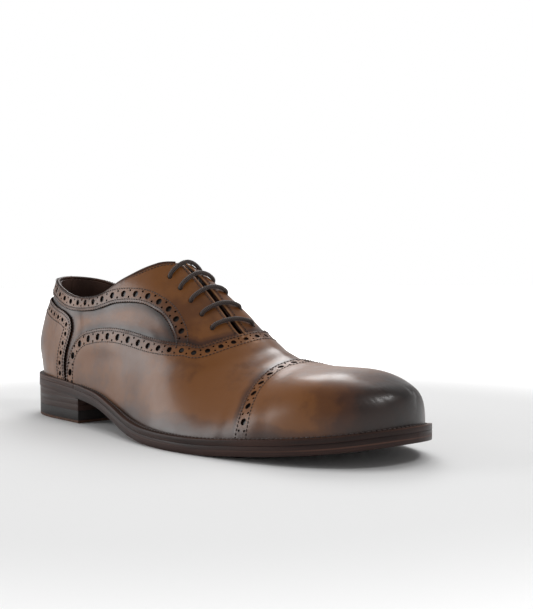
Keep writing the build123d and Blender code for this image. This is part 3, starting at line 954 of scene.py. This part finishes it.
def patina_leather(looks):
    """Hand-burnished calf: tan clouds, darker seams, near-black toe tip and heel, and near-black
    painted shade where another panel lies on top.
    """
    f = Finish("Patina calf", Coat_Weight=0.4, Coat_Roughness=0.22, Specular_IOR_Level=0.5,
               Coat_IOR=1.45)
    x, y, z = f.place()
    cloud = f.noise(22, 4, 0.55)
    fine = f.noise(130, 5, 0.65)
    mottled = f.math("ADD", f.math("MULTIPLY", cloud, 0.75), f.math("MULTIPLY", fine, 0.25))
    tone = f.between(mottled, 0.30, 0.72)
    edge = f.between(f.attribute("edge"), 0.0, SEAM_BURNISH, 0.62, 0.0)
    wave = f.math("MULTIPLY", f.math("SUBTRACT", f.noise(30, 3), 0.5), 0.03)
    waved = f.math("ADD", x, wave)
    toe = f.between(waved, *TOE_BURNISH)
    heel = f.between(waved, *HEEL_BURNISH, 0.0, 0.5)
    # Darker towards the feather, near the floor.
    low = f.between(z, *FEATHER_DARKENING, 0.0, 0.6)
    dark = f.math("MAXIMUM", f.math("MAXIMUM", edge, heel), low)
    dark = f.math("MAXIMUM", dark, toe)
    shade = f.math("ADD", f.math("SUBTRACT", 1.0, dark), f.math("MULTIPLY", tone, 0.45))
    shade = f.math("SUBTRACT", shade, 0.28, True)
    tan = f.ramp(shade, (0.0, tuple(looks.dark_tan)), (0.22, colour(37, 18, 10)),
                 (0.5, colour(64, 32, 11)), (0.78, colour(92, 51, 14)),
                 (1.0, tuple(looks.light_tan)))
    # Near-black painted shade where another panel lies on top, seen at the bottom of the punched
    # holes.
    painted_underlap_shade = f.attribute("painted_underlap_shade")
    tan = f.mix(painted_underlap_shade, tan, colour(16, 9, 7))
    tan = f.mix(f.attribute("bare"), tan, colour(150, 104, 66))
    grain = f.node("TexVoronoi", {"Vector": f.coordinates}, Scale=2600.0).outputs["Distance"]
    pores = f.noise(5200, 2, 0.5)
    creases = f.noise(240, 4, 0.6)
    normal = f.bump(grain, 0.10, 0.00012)
    normal = f.bump(pores, 0.08, 0.00008, normal)
    normal = f.bump(creases, 0.08, 0.0004, normal)
    rough = f.between(fine, 0.2, 0.8, 0.34, 0.48)
    return f.finish(Base_Color=tan, Normal=normal, Roughness=rough)


def cut_leather():
    """Edges and hole walls: dark dye, or the bare tan of the cut leather along the lacing."""
    f = Finish("Cut leather edge", Roughness=0.75, Specular_IOR_Level=0.3)
    fibre = f.noise(3500, 3, 0.7)
    dyed = f.ramp(fibre, (0.25, colour(24, 13, 9)), (0.8, colour(46, 26, 17)))
    bare = f.ramp(fibre, (0.25, colour(142, 92, 52)), (0.8, colour(186, 134, 88)))
    tone = f.mix(f.attribute("bare"), dyed, bare)
    return f.finish(Base_Color=tone, Normal=f.bump(fibre, 0.4, 0.0002))


def soft_leather(name, dark, light, rough):
    """Plain lining or sock leather."""
    f = Finish(name, Specular_IOR_Level=0.35)
    cells = f.node("TexVoronoi", {"Vector": f.coordinates}, Scale=1800.0).outputs["Distance"]
    cloud = f.noise(60, 4, 0.6)
    tone = f.ramp(cloud, (0.3, dark), (0.75, light))
    normal = f.bump(cells, 0.3, 0.0002)
    return f.finish(Base_Color=tone, Normal=normal,
                    Roughness=f.between(cloud, 0.2, 0.8, rough - 0.08, rough + 0.08))


def layered_leather(name, dark, light, line, count):
    """Dyed and waxed sole leather whose edge shows thin pressed layers."""
    f = Finish(name, Specular_IOR_Level=0.25)
    x, y, _ = f.place()
    layer = f.attribute("layer")

    def layers(spread, thin):
        return f.node("CombineXYZ", {"X": f.math("MULTIPLY", x, spread),
                                     "Y": f.math("MULTIPLY", y, spread),
                                     "Z": f.math("MULTIPLY", layer, thin)}).outputs[0]

    streak = f.noise(18, 5, 0.65, layers(1.0, count))
    long = f.noise(40, 3, 0.5, layers(0.12, 26))
    tone = f.ramp(streak, (0.3, dark), (0.7, light))
    tone = f.mix(f.between(long, 0.56, 0.64, 0.0, 0.7), tone, line)
    normal = f.bump(streak, 0.35, 0.0004)
    normal = f.bump(f.noise(900, 3), 0.12, 0.0002, normal)
    return f.finish(Base_Color=tone, Normal=normal,
                    Roughness=f.between(streak, 0.3, 0.7, 0.34, 0.52))


def rubber():
    """Moulded black rubber, slightly dusty."""
    f = Finish("Heel rubber", Specular_IOR_Level=0.4)
    speck = f.noise(1500, 4, 0.7)
    tone = f.ramp(speck, (0.3, colour(24, 19, 18)), (0.8, colour(42, 35, 34)))
    return f.finish(Base_Color=tone, Normal=f.bump(speck, 0.25, 0.0002),
                    Roughness=f.between(speck, 0.2, 0.8, 0.5, 0.68))


def tread_rubber():
    """Brown wear layer with a fine pimpled ground."""
    f = Finish("Tread rubber", Specular_IOR_Level=0.35)
    dots = f.node("TexVoronoi", {"Vector": f.coordinates}, Scale=900.0).outputs["Distance"]
    tone = f.ramp(f.noise(400, 4), (0.3, colour(70, 45, 32)), (0.8, colour(96, 64, 46)))
    return f.finish(Base_Color=tone, Normal=f.bump(dots, 0.4, 0.0003),
                    Roughness=f.between(dots, 0.0, 0.6, 0.55, 0.7))


def waxed_cord():
    """Dark waxed cotton with a braided surface."""
    f = Finish("Waxed lace", Sheen_Weight=0.25, Sheen_Roughness=0.5)
    braid = f.node("TexWave", {"Vector": f.coordinates}, Scale=420.0, Distortion=2.5,
                   Detail=2.0, bands_direction="DIAGONAL").outputs["Fac"]
    plies = f.math("ADD", f.math("MULTIPLY", braid, 0.6), f.math("MULTIPLY", f.noise(700, 3), 0.4))
    tone = f.ramp(plies, (0.2, colour(24, 15, 12)), (0.85, colour(66, 46, 37)))
    return f.finish(Base_Color=tone, Normal=f.bump(braid, 0.6, 0.00025),
                    Roughness=f.between(braid, 0, 1, 0.42, 0.6))


def thread(name, dark, light):
    """Twisted sewing thread."""
    f = Finish(name, Sheen_Weight=0.2)
    ply = f.node("TexWave", {"Vector": f.coordinates}, Scale=900.0, Distortion=1.0,
                 bands_direction="DIAGONAL").outputs["Fac"]
    return f.finish(Base_Color=f.ramp(ply, (0.2, dark), (0.9, light)),
                    Normal=f.bump(ply, 0.5, 0.0001), Roughness=f.between(ply, 0, 1, 0.45, 0.62))


def metal(name, dark, light):
    """Bare metal with fine scratches."""
    f = Finish(name, Metallic=1.0)
    scratch = f.noise(500, 4, 0.6, f.stretched(1, 6, 1))
    return f.finish(Base_Color=f.ramp(scratch, (0.3, dark), (0.7, light)),
                    Normal=f.bump(scratch, 0.15, 0.0001),
                    Roughness=f.between(scratch, 0.2, 0.8, 0.29, 0.45))


def cork():
    """Cork granules in latex."""
    f = Finish("Cork filler")
    cells = f.node("TexVoronoi", {"Vector": f.coordinates}, Scale=700.0)
    tone = f.ramp(cells.outputs["Distance"], (0.1, colour(168, 124, 82)), (0.7, colour(96, 62, 38)))
    return f.finish(Base_Color=tone, Normal=f.bump(cells.outputs["Distance"], 0.6, 0.0006),
                    Roughness=f.between(cells.outputs["Distance"], 0, 1, 0.7, 0.9))


def ground():
    """White studio floor with a faint paper tooth, and painted light: it glows for the camera
    further than 0.24 m from its middle, under the shoe.
    """
    f = Finish("Studio floor", Specular_IOR_Level=0.1, Base_Color=colour(224, 224, 224),
               Emission_Color=(1, 1, 1, 1))
    tooth = f.noise(300, 3)
    x, y, _ = f.place()
    # Painted light: the floor glows white for camera rays only, from nothing 0.24 m from its middle
    # to full at 0.6 m.
    away = f.math("SQRT", f.math("ADD", f.math("MULTIPLY", x, x), f.math("MULTIPLY", y, y)), 0.0)
    seen = f.node("LightPath").outputs["Is Camera Ray"]
    return f.finish(Roughness=f.between(tooth, 0, 1, 0.85, 0.95),
                    Normal=f.bump(tooth, 0.05, 0.0002),
                    Emission_Strength=f.math("MULTIPLY", f.between(away, 0.24, 0.6), seen))


MATERIALS = {}            # the finishes made so far, by name


# Plain finishes: their maker, name, dark and light tone, and what else the maker takes
PLAIN = {
    "lining": (soft_leather, "Lining calf", (60, 42, 36), (92, 68, 58), 0.6),
    "tongue": (soft_leather, "Tongue calf", (44, 25, 16), (84, 50, 29), 0.45),
    "binding": (soft_leather, "Binding calf", (40, 22, 14), (74, 43, 25), 0.4),
    "insole": (soft_leather, "Insole leather", (150, 112, 76), (186, 146, 104), 0.7),
    "board": (soft_leather, "Stiffener board", (120, 92, 66), (150, 120, 90), 0.8),
    "sole": (layered_leather, "Waxed sole leather", (30, 17, 14), (56, 34, 28), (92, 62, 50), 16),
    "welt": (layered_leather, "Waxed welt", (32, 18, 14), (60, 36, 28), (94, 62, 48), 12),
    "heel": (layered_leather, "Stacked heel leather", (36, 23, 20), (58, 40, 35), (76, 54, 47),
             18),
    "welt_thread": (thread, "Welt thread", (24, 15, 12), (70, 48, 38)),
    "brass": (metal, "Aged brass", (120, 84, 40), (168, 126, 64)),
    "steel": (metal, "Spring steel", (70, 72, 76), (120, 122, 126)),
}
MADE = {"cut": cut_leather, "rubber": rubber, "tread": tread_rubber, "cork": cork,
        "lace": waxed_cord, "floor": ground}


def material(name):
    """A finish by name, made the first time it is asked for."""
    looks = bpy.context.scene.shoe_looks
    if name not in MATERIALS:
        if name == "patina":
            MATERIALS[name] = patina_leather(looks)
        elif name == "thread":
            MATERIALS[name] = thread("Dark thread", colour(22, 13, 10), tuple(looks.thread_tone))
        elif name in MADE:
            MATERIALS[name] = MADE[name]()
        else:
            maker, label, *rest = PLAIN[name]
            MATERIALS[name] = maker(label, *(colour(*v) if isinstance(v, tuple) else v
                                             for v in rest))
    return MATERIALS[name]


# ---------------------------------------------------------------- operators


class ShoeLooks(PropertyGroup):
    """Sizes and colours of the shoe that a user would change."""

    stitch_pitch: FloatProperty(name="Stitch pitch", description="Length of one stitch and its gap",
                                default=2.0 * MM, min=1.2 * MM, max=4.0 * MM, unit="LENGTH",
                                subtype="DISTANCE", precision=4)
    leather: FloatProperty(name="Leather", description="Thickness of the upper's leather",
                           default=LEATHER * MM, min=0.6 * MM, max=1.3 * MM, unit="LENGTH",
                           subtype="DISTANCE", precision=4)
    lace: FloatProperty(name="Lace", description="Thickness of the lace", default=LACE * MM,
                        min=1.2 * MM, max=3.0 * MM, unit="LENGTH", subtype="DISTANCE",
                        precision=4)
    light_tan: FloatVectorProperty(name="Light tan", description="Palest tone of the leather",
                                   default=colour(116, 68, 20), size=4, min=0, max=1,
                                   subtype="COLOR")
    dark_tan: FloatVectorProperty(name="Dark tan", description="Tone of the burnished toe",
                                  default=colour(17, 8, 6), size=4, min=0, max=1,
                                  subtype="COLOR")
    thread_tone: FloatVectorProperty(name="Thread", description="Tone of the sewing thread",
                                     default=colour(52, 31, 22), size=4, min=0, max=1,
                                     subtype="COLOR")


class ShoePiece(Operator):
    """Base of the operators that build the shoe."""

    bl_options = {"REGISTER", "UNDO"}

    def execute(self, context):
        self.build(context.scene.shoe_looks)
        return {"FINISHED"}


def leather_panel(name, loop, rings, raised, pressed, edges, seams, covers, node):
    """One upper panel of patina leather that stands for its CAD node."""
    piece = cut_panel(name, loop, rings, raised=raised, pressed=pressed, edges=edges, seams=seams,
                      covers=covers, materials=[material("patina"), material("cut")],
                      thickness=bpy.context.scene.shoe_looks.leather / MM)
    return settle(piece, "shoe", "upper_leather", node)


class SHOE_OT_upper(ShoePiece):
    """Cut, punch and last the leather panels of the upper"""

    bl_idname = "shoe.upper"
    bl_label = "Upper panels"

    def build(self, looks):
        s = SEAMS
        cap_row = holes_along(s.cap, HOLE_ROW)
        leather_panel("toe_cap_leather", cap_loop(), cap_row, [s.cap], [], [s.cap], [], [],
                      "toe_cap")
        vamp_pitch = ((0, 10.6), (0.25, 10.2), (0.42, 7.6), (0.58, 7.6), (0.75, 10.2), (1, 10.6))
        vamp_row = holes_along(s.vamp, HOLE_ROW, 5.0, vamp_pitch)
        leather_panel("vamp_leather", vamp_loop(), vamp_row, [s.vamp], [s.cap], [s.vamp], [s.cap],
                      [cap_loop()], "vamp")
        counter_row = holes_along(s.counter, HOLE_ROW, 5.0, ((0, 6.6), (0.5, 5.4), (1, 6.6)), 0.23)
        leather_panel("counter_leather", counter_loop(), counter_row, [s.counter], [],
                      [s.counter], [], [], "heel_counter_cover")
        for side, word in ((-1, "outer"), (1, "inner")):
            band_pitch = ((0, 6.6), (0.25, 7.8), (0.45, 9.4), (1, 9.2))
            band_row = holes_along(s.band[side], -side * HOLE_ROW, 4.0, band_pitch)
            band_row += [eyelet_ring(x, side) for x in EYELET_X[side]]
            leather_panel(f"facing_leather_{word}", facing_loop(side), band_row,
                          [s.band[side]], [s.vamp], [s.band[side], s.topline[side], s.slit[side]],
                          [s.vamp], [vamp_loop()], f"facing_{word}")
            leather_panel(f"quarter_leather_{word}", quarter_loop(side), [], [],
                          [s.vamp, s.band[side], s.counter], [],
                          [s.vamp, s.band[side], s.counter],
                          [vamp_loop(), facing_loop(side), counter_loop()], f"quarter_{word}")


def eyelet_ring(x, side, radius=1.75, count=16):
    """A lace hole in one facing."""
    centre = LAST.locate([top_point(x, SLIT_Y + side * EYELET_Y)])
    _, da, db = LAST.frames(centre)
    turn = np.linspace(0, 2 * np.pi, count, endpoint=False)[:, None]
    move = radius * (unit(da) * np.cos(turn) + unit(db) * np.sin(turn))
    return LAST.shift(np.repeat(centre, count, axis=0), move)


class SHOE_OT_stitches(ShoePiece):
    """Sew the seams of the upper; the welt is sewn with the sole"""

    bl_idname = "shoe.stitches"
    bl_label = "Stitching"

    def build(self, looks):
        s = SEAMS
        rows = {"cap": (s.cap, 1), "vamp": (s.vamp, 1), "counter": (s.counter, 1),
                "facing_outer": (s.band[-1], 1), "facing_inner": (s.band[1], -1)}
        outer_row, inner_row = (1.0, STEP + PROUD), (HOLE_ROW + 3.3, STEP * 0.98 + PROUD)
        for name, (curve, sign) in rows.items():
            curves = []
            for distance, height in (outer_row, inner_row):
                inset = offset(curve, sign * distance)
                curves.append((inset, np.full(len(inset), height)))
            piece = stitched(f"stitches_{name}", curves, [material("thread")],
                             looks.stitch_pitch / MM)
            settle(piece, "shoe", "upper_leather")
        curves = []
        for side in (-1, 1):
            for curve in (s.topline[side], s.slit[side][:-8]):
                inset = offset(curve, side * 2.0)
                curves.append((inset, np.full(len(inset), PROUD)))
        piece = stitched("stitches_topline", curves, [material("thread")],
                         looks.stitch_pitch / MM)
        settle(piece, "shoe", "upper_leather")


class SHOE_OT_binding(ShoePiece):
    """Bind the topline with a rolled strip"""

    bl_idname = "shoe.binding"
    bl_label = "Topline binding"

    def build(self, looks):
        outer, inner = SEAMS.topline[-1], SEAMS.topline[1]
        line = np.concatenate([outer[::-1][:-3], inner[3:]])
        points = resample(LAST.points(line, -0.7), 1.2)
        normals = LAST.frames(LAST.locate(points))[0]
        piece = tube("collar_bead", points, 0.95, [material("binding")], 12, 1.25, normals)
        settle(piece, "shoe", "upper_leather", "collar_binding")


class SHOE_OT_linings(ShoePiece):
    """Line the inside of the quarters"""

    bl_idname = "shoe.linings"
    bl_label = "Linings"

    def build(self, looks):
        for side, word in ((-1, "outer"), (1, "inner")):
            rings = [eyelet_ring(x, side) for x in EYELET_X[side]]
            piece = cut_panel(f"lining_{word}", lining_loop(side), rings, height=-1.5,
                              thickness=0.6, heel_drop=0.65,
                              materials=[material("lining"), material("lining")], roll=0.0)
            settle(piece, "shoe", "lining_leather", f"quarter_lining_{word}")


class SHOE_OT_tongue(ShoePiece):
    """Shape the tongue under the lacing"""

    bl_idname = "shoe.tongue"
    bl_label = "Tongue"

    def build(self, looks):
        corners = [(121.5, 0), (122.0, 8), (125, 15), (132, 18.5), (145, 19.3), (160, 19.3),
                   (175, 19.0), (183.5, 18.0)]
        half = [(x, SLIT_Y - y) for x, y in corners]
        other = [(x, SLIT_Y + y) for x, y in corners]
        side_a = trace(tops(half))
        side_b = trace(tops(other))
        loop = closed([side_a, side_b[::-1]])
        layers = (("tongue_leather", -8.1, 1.2, "tongue", "upper_leather", "tongue"),
                  ("tongue_backing", -9.35, 1.1, "lining", "lining_leather", "tongue_lining"))
        for name, height, thickness, finish, slot, node in layers:
            piece = cut_panel(name, loop, height=height, thickness=thickness, roll=0.0,
                              materials=[material(finish), material("cut")])
            settle(piece, "tongue", slot, node)


class SHOE_OT_lace(ShoePiece):
    """Thread the lace straight across the five pairs of eyelets"""

    bl_idname = "shoe.lace"
    bl_label = "Lace"

    def build(self, looks):
        curve = bpy.data.curves.new("lace_cord", "CURVE")
        curve.dimensions = "3D"
        spline = curve.splines.new("NURBS")
        route = (np.array(lace_route()) + SHIFT) * MM
        spline.points.add(len(route) - 1)
        for point, place in zip(spline.points, route):
            point.co = (*place, 1.0)
        spline.order_u = 3
        spline.use_endpoint_u = True
        spline.resolution_u = 6
        curve.bevel_depth = looks.lace / 2
        curve.bevel_resolution = 4
        curve.use_fill_caps = True
        piece = bpy.data.objects.new("lace_cord", curve)
        bpy.context.collection.objects.link(piece)
        curve.materials.append(material("lace"))
        settle(piece, "shoe", "lace_cotton", "lace")


def lace_point(x, y, depth):
    """A point under the upper's surface, seen from above."""
    def height(a, b):
        return top_point(a, b)[2]
    normal = unit(np.array([height(x - 1, y) - height(x + 1, y),
                            height(x, y - 1) - height(x, y + 1), 2.0]))
    return top_point(x, y) - normal * depth


def lace_route():
    """Points of the lace: up one eyelet, straight across, down the other, and on to the next."""
    route = [lace_point(*place) for place in LACE_START]
    side = -1
    for here, there in zip(EYELET_X[-1], EYELET_X[1]):
        start, end = (here, there) if side < 0 else (there, here)
        for across, depth in BAR_PROFILE:
            x = (start + end) / 2 + (start - end) / 2 * across
            route.append(lace_point(x, SLIT_Y + side * EYELET_Y * across, depth))
        side = -side
    return route + [lace_point(x, y, LACE_DEPTH) for x, y in LACE_TAIL]


class SHOE_OT_bottom(ShoePiece):
    """Cut the outsole, welt and heel rand"""

    bl_idname = "shoe.bottom"
    bl_label = "Sole and welt"

    def build(self, looks):
        left, right = outline_pair(0.15, LENGTH - 0.15, 150, 0)
        piece = slab("outsole_leather", left, right, above(0), above(OUTSOLE), [material("sole")],
                     0.25)
        settle(piece, "shoe", "sole_leather", "outsole")
        for name, first, last, count, node in (
                ("welt_strip", HEEL_FRONT - 5, LENGTH, 120, "welt"),
                ("rand_strip", 0, HEEL_FRONT - 5, 70, "heel_rand")):
            outer, inner = rim_pair(first, last, count, 0, WELT_WIDTH)
            piece = slab(name, outer, inner, above(OUTSOLE), above(SOLE), [material("welt")], 0.35)
            settle(piece, "shoe", "sole_leather", node)
        self.welt_stitches()

    def welt_stitches(self):
        """Dark stitches along the welt, close to the upper."""
        x = stations(60, LENGTH - 2.9, 200)
        half, middle = sole_half(x, 2.9), along(CENTRE, x)
        z = feather(x) + 0.15
        outer = np.column_stack([x, middle - half, z])
        inner = np.column_stack([x, middle + half, z])
        row = resample(np.concatenate([outer, inner[::-1][1:]]), 2.6)
        ahead = unit(np.gradient(row, axis=0))
        up = np.array([0.0, 0.0, 1.0])
        frames_of = [(t, np.array([-t[1], t[0], 0.0]), up, 0.0) for t in ahead[1:-1]]
        points, faces = beads(row[1:-1], (2.2, 0.5, 0.45), frames_of, WELT_STITCH_PROFILE)
        piece = new_mesh("welt_stitches", points, faces, [material("welt_thread")])
        smooth(piece, 80)
        settle(piece, "shoe", "sole_leather")


class SHOE_OT_heel(ShoePiece):
    """Stack the heel from leather lifts, rubber and the wear layer"""

    bl_idname = "shoe.heel"
    bl_label = "Heel"

    def build(self, looks):
        levels = (("heel_tread", "tread_layer", 0.0, 1.6, "tread", "tread_rubber", 0.25),
                  ("rubber_lift", "rubber_layer", 1.6, 7.6, "rubber", "heel_rubber", 0.3),
                  ("heel_lift_1", "lift_lowest", 7.6, 11.2, "heel", "heel_leather", 0.14),
                  ("heel_lift_2", "lift_middle", 11.2, 14.8, "heel", "heel_leather", 0.14),
                  ("heel_lift_3", "lift_top", 14.8, 30.0, "heel", "heel_leather", 0.14))
        for node, name, low, high, finish, slot, bevel in levels:
            left, right = outline_pair(0.5, HEEL_FRONT, 60, 0.3)
            if node == "heel_lift_3":
                keep = along(UNDERSIDE, left[:, 0]) > low + 0.3
                left, right = left[keep], right[keep]
            piece = slab(name, left, right, level(low), level(high), [material(finish)], bevel,
                         follows=False)
            settle(piece, "shoe", slot, node)


class SHOE_OT_inside(ShoePiece):
    """Give the hidden parts of the model their finishes"""

    bl_idname = "shoe.inside"
    bl_label = "Inner parts"

    def build(self, looks):
        finishes = {"vamp_lining": "lining", "toe_puff": "board", "heel_stiffener": "board",
                    "eyelets_outer": "brass", "eyelets_inner": "brass", "aglets": "lace",
                    "insole": "insole", "insole_rib": "insole", "cork_filler": "cork",
                    "shank": "steel", "sock_liner": "lining", "heel_nails": "brass"}
        for node, finish in finishes.items():
            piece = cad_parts[node]
            for slot in piece.material_slots:
                slot.material = material(finish)
            if not piece.material_slots:
                raise RuntimeError(f"{node} has no material slot")


class SHOE_OT_stage(ShoePiece):
    """Set the floor, the lights and the camera"""

    bl_idname = "shoe.stage"
    bl_label = "Stage"

    def build(self, looks):
        scene = bpy.context.scene
        scene.view_settings.view_transform = "Standard"
        bpy.ops.object.select_all(action="DESELECT")
        bpy.ops.mesh.primitive_plane_add(size=FLOOR)
        floor = bpy.context.object
        floor.name = "studio_floor"
        floor.data.materials.append(material("floor"))
        scene.world = self.surroundings()
        bpy.ops.object.light_add(type="SUN", rotation=(-0.42, -0.36, 0))
        ceiling = bpy.context.object
        ceiling.name = "Ceiling light"
        ceiling.data.energy, ceiling.data.angle = 1.7, math.radians(65)
        ceiling.visible_glossy = False
        for name, place, target, size, power in SOFTBOXES:
            bpy.ops.object.light_add(type="AREA", location=place)
            light = bpy.context.object
            light.name = name
            light.data.shape, light.data.size, light.data.energy = "SQUARE", size, power
            aim = Vector(target) - Vector(place)
            light.rotation_euler = aim.to_track_quat("-Z", "Y").to_euler()
        self.camera(scene)

    def surroundings(self):
        """A white room, brighter round the horizon than overhead."""
        world = bpy.data.worlds.new("Studio")
        world.use_nodes = True
        tree = world.node_tree
        background = tree.nodes["Background"]
        place = tree.nodes.new("ShaderNodeTexCoord").outputs["Generated"]
        split = tree.nodes.new("ShaderNodeSeparateXYZ")
        ramp = tree.nodes.new("ShaderNodeValToRGB")
        for _ in SKY[2:]:
            ramp.color_ramp.elements.new(0.5)
        for element, (height, light) in zip(ramp.color_ramp.elements, SKY):
            element.position, element.color = height, (light, light, light, 1)
        seen = tree.nodes.new("ShaderNodeLightPath").outputs["Is Camera Ray"]
        mix = tree.nodes.new("ShaderNodeMix")
        mix.data_type = "RGBA"
        mix.inputs[7].default_value = (1, 1, 1, 1)
        for start, end in ((place, split.inputs[0]), (split.outputs["Z"], ramp.inputs["Fac"]),
                           (ramp.outputs["Color"], mix.inputs[6]), (seen, mix.inputs[0]),
                           (mix.outputs[2], background.inputs["Color"])):
            tree.links.new(start, end)
        background.inputs["Strength"].default_value = 1.0
        return world

    def camera(self, scene):
        """The camera on the outer side, in front of the toe, a little above the floor."""
        turn, roll = math.radians(CAMERA_TURN), math.radians(CAMERA_ROLL)
        back = Vector((math.sin(turn) * math.cos(CAMERA_LIFT),
                       -math.cos(turn) * math.cos(CAMERA_LIFT), math.sin(CAMERA_LIFT)))
        right = Vector((math.cos(turn), math.sin(turn), 0))
        up = back.cross(right)
        target = Vector((np.array(CAMERA_TARGET) + SHIFT) * MM)
        bpy.ops.object.camera_add(location=target + back * CAMERA_DISTANCE)
        camera = bpy.context.object
        side = right * math.cos(roll) + up * math.sin(roll)
        top = up * math.cos(roll) - right * math.sin(roll)
        rotation = np.array([side, top, back]).T
        camera.rotation_euler = Matrix(rotation.tolist()).to_euler()
        camera.data.sensor_width = SENSOR
        camera.data.sensor_fit = "HORIZONTAL"
        camera.data.lens = LENS
        camera.data.shift_x, camera.data.shift_y = LENS_SHIFT
        scene.camera = camera


class SHOE_PT_panel(Panel):
    """Steps of the build, in order"""

    bl_idname = "SHOE_PT_panel"
    bl_label = "Oxford shoe"
    bl_space_type = "VIEW_3D"
    bl_region_type = "UI"
    bl_category = "Shoe"

    def draw(self, context):
        column = self.layout.column(align=True)
        for step in STEPS:
            column.operator(step.bl_idname)
        for name in ShoeLooks.__annotations__:
            self.layout.prop(context.scene.shoe_looks, name)


STEPS = (SHOE_OT_upper, SHOE_OT_stitches, SHOE_OT_binding, SHOE_OT_linings, SHOE_OT_tongue,
         SHOE_OT_lace, SHOE_OT_bottom, SHOE_OT_heel, SHOE_OT_inside, SHOE_OT_stage)


def register():
    for cls in (ShoeLooks, *STEPS, SHOE_PT_panel):
        bpy.utils.register_class(cls)
    bpy.types.Scene.shoe_looks = PointerProperty(type=ShoeLooks)


def unregister():
    del bpy.types.Scene.shoe_looks
    for cls in (SHOE_PT_panel, *reversed(STEPS), ShoeLooks):
        bpy.utils.unregister_class(cls)


def main():
    register()
    for step in STEPS:
        getattr(bpy.ops.shoe, step.bl_idname.split(".")[1])()


if __name__ == "__main__":
    main()
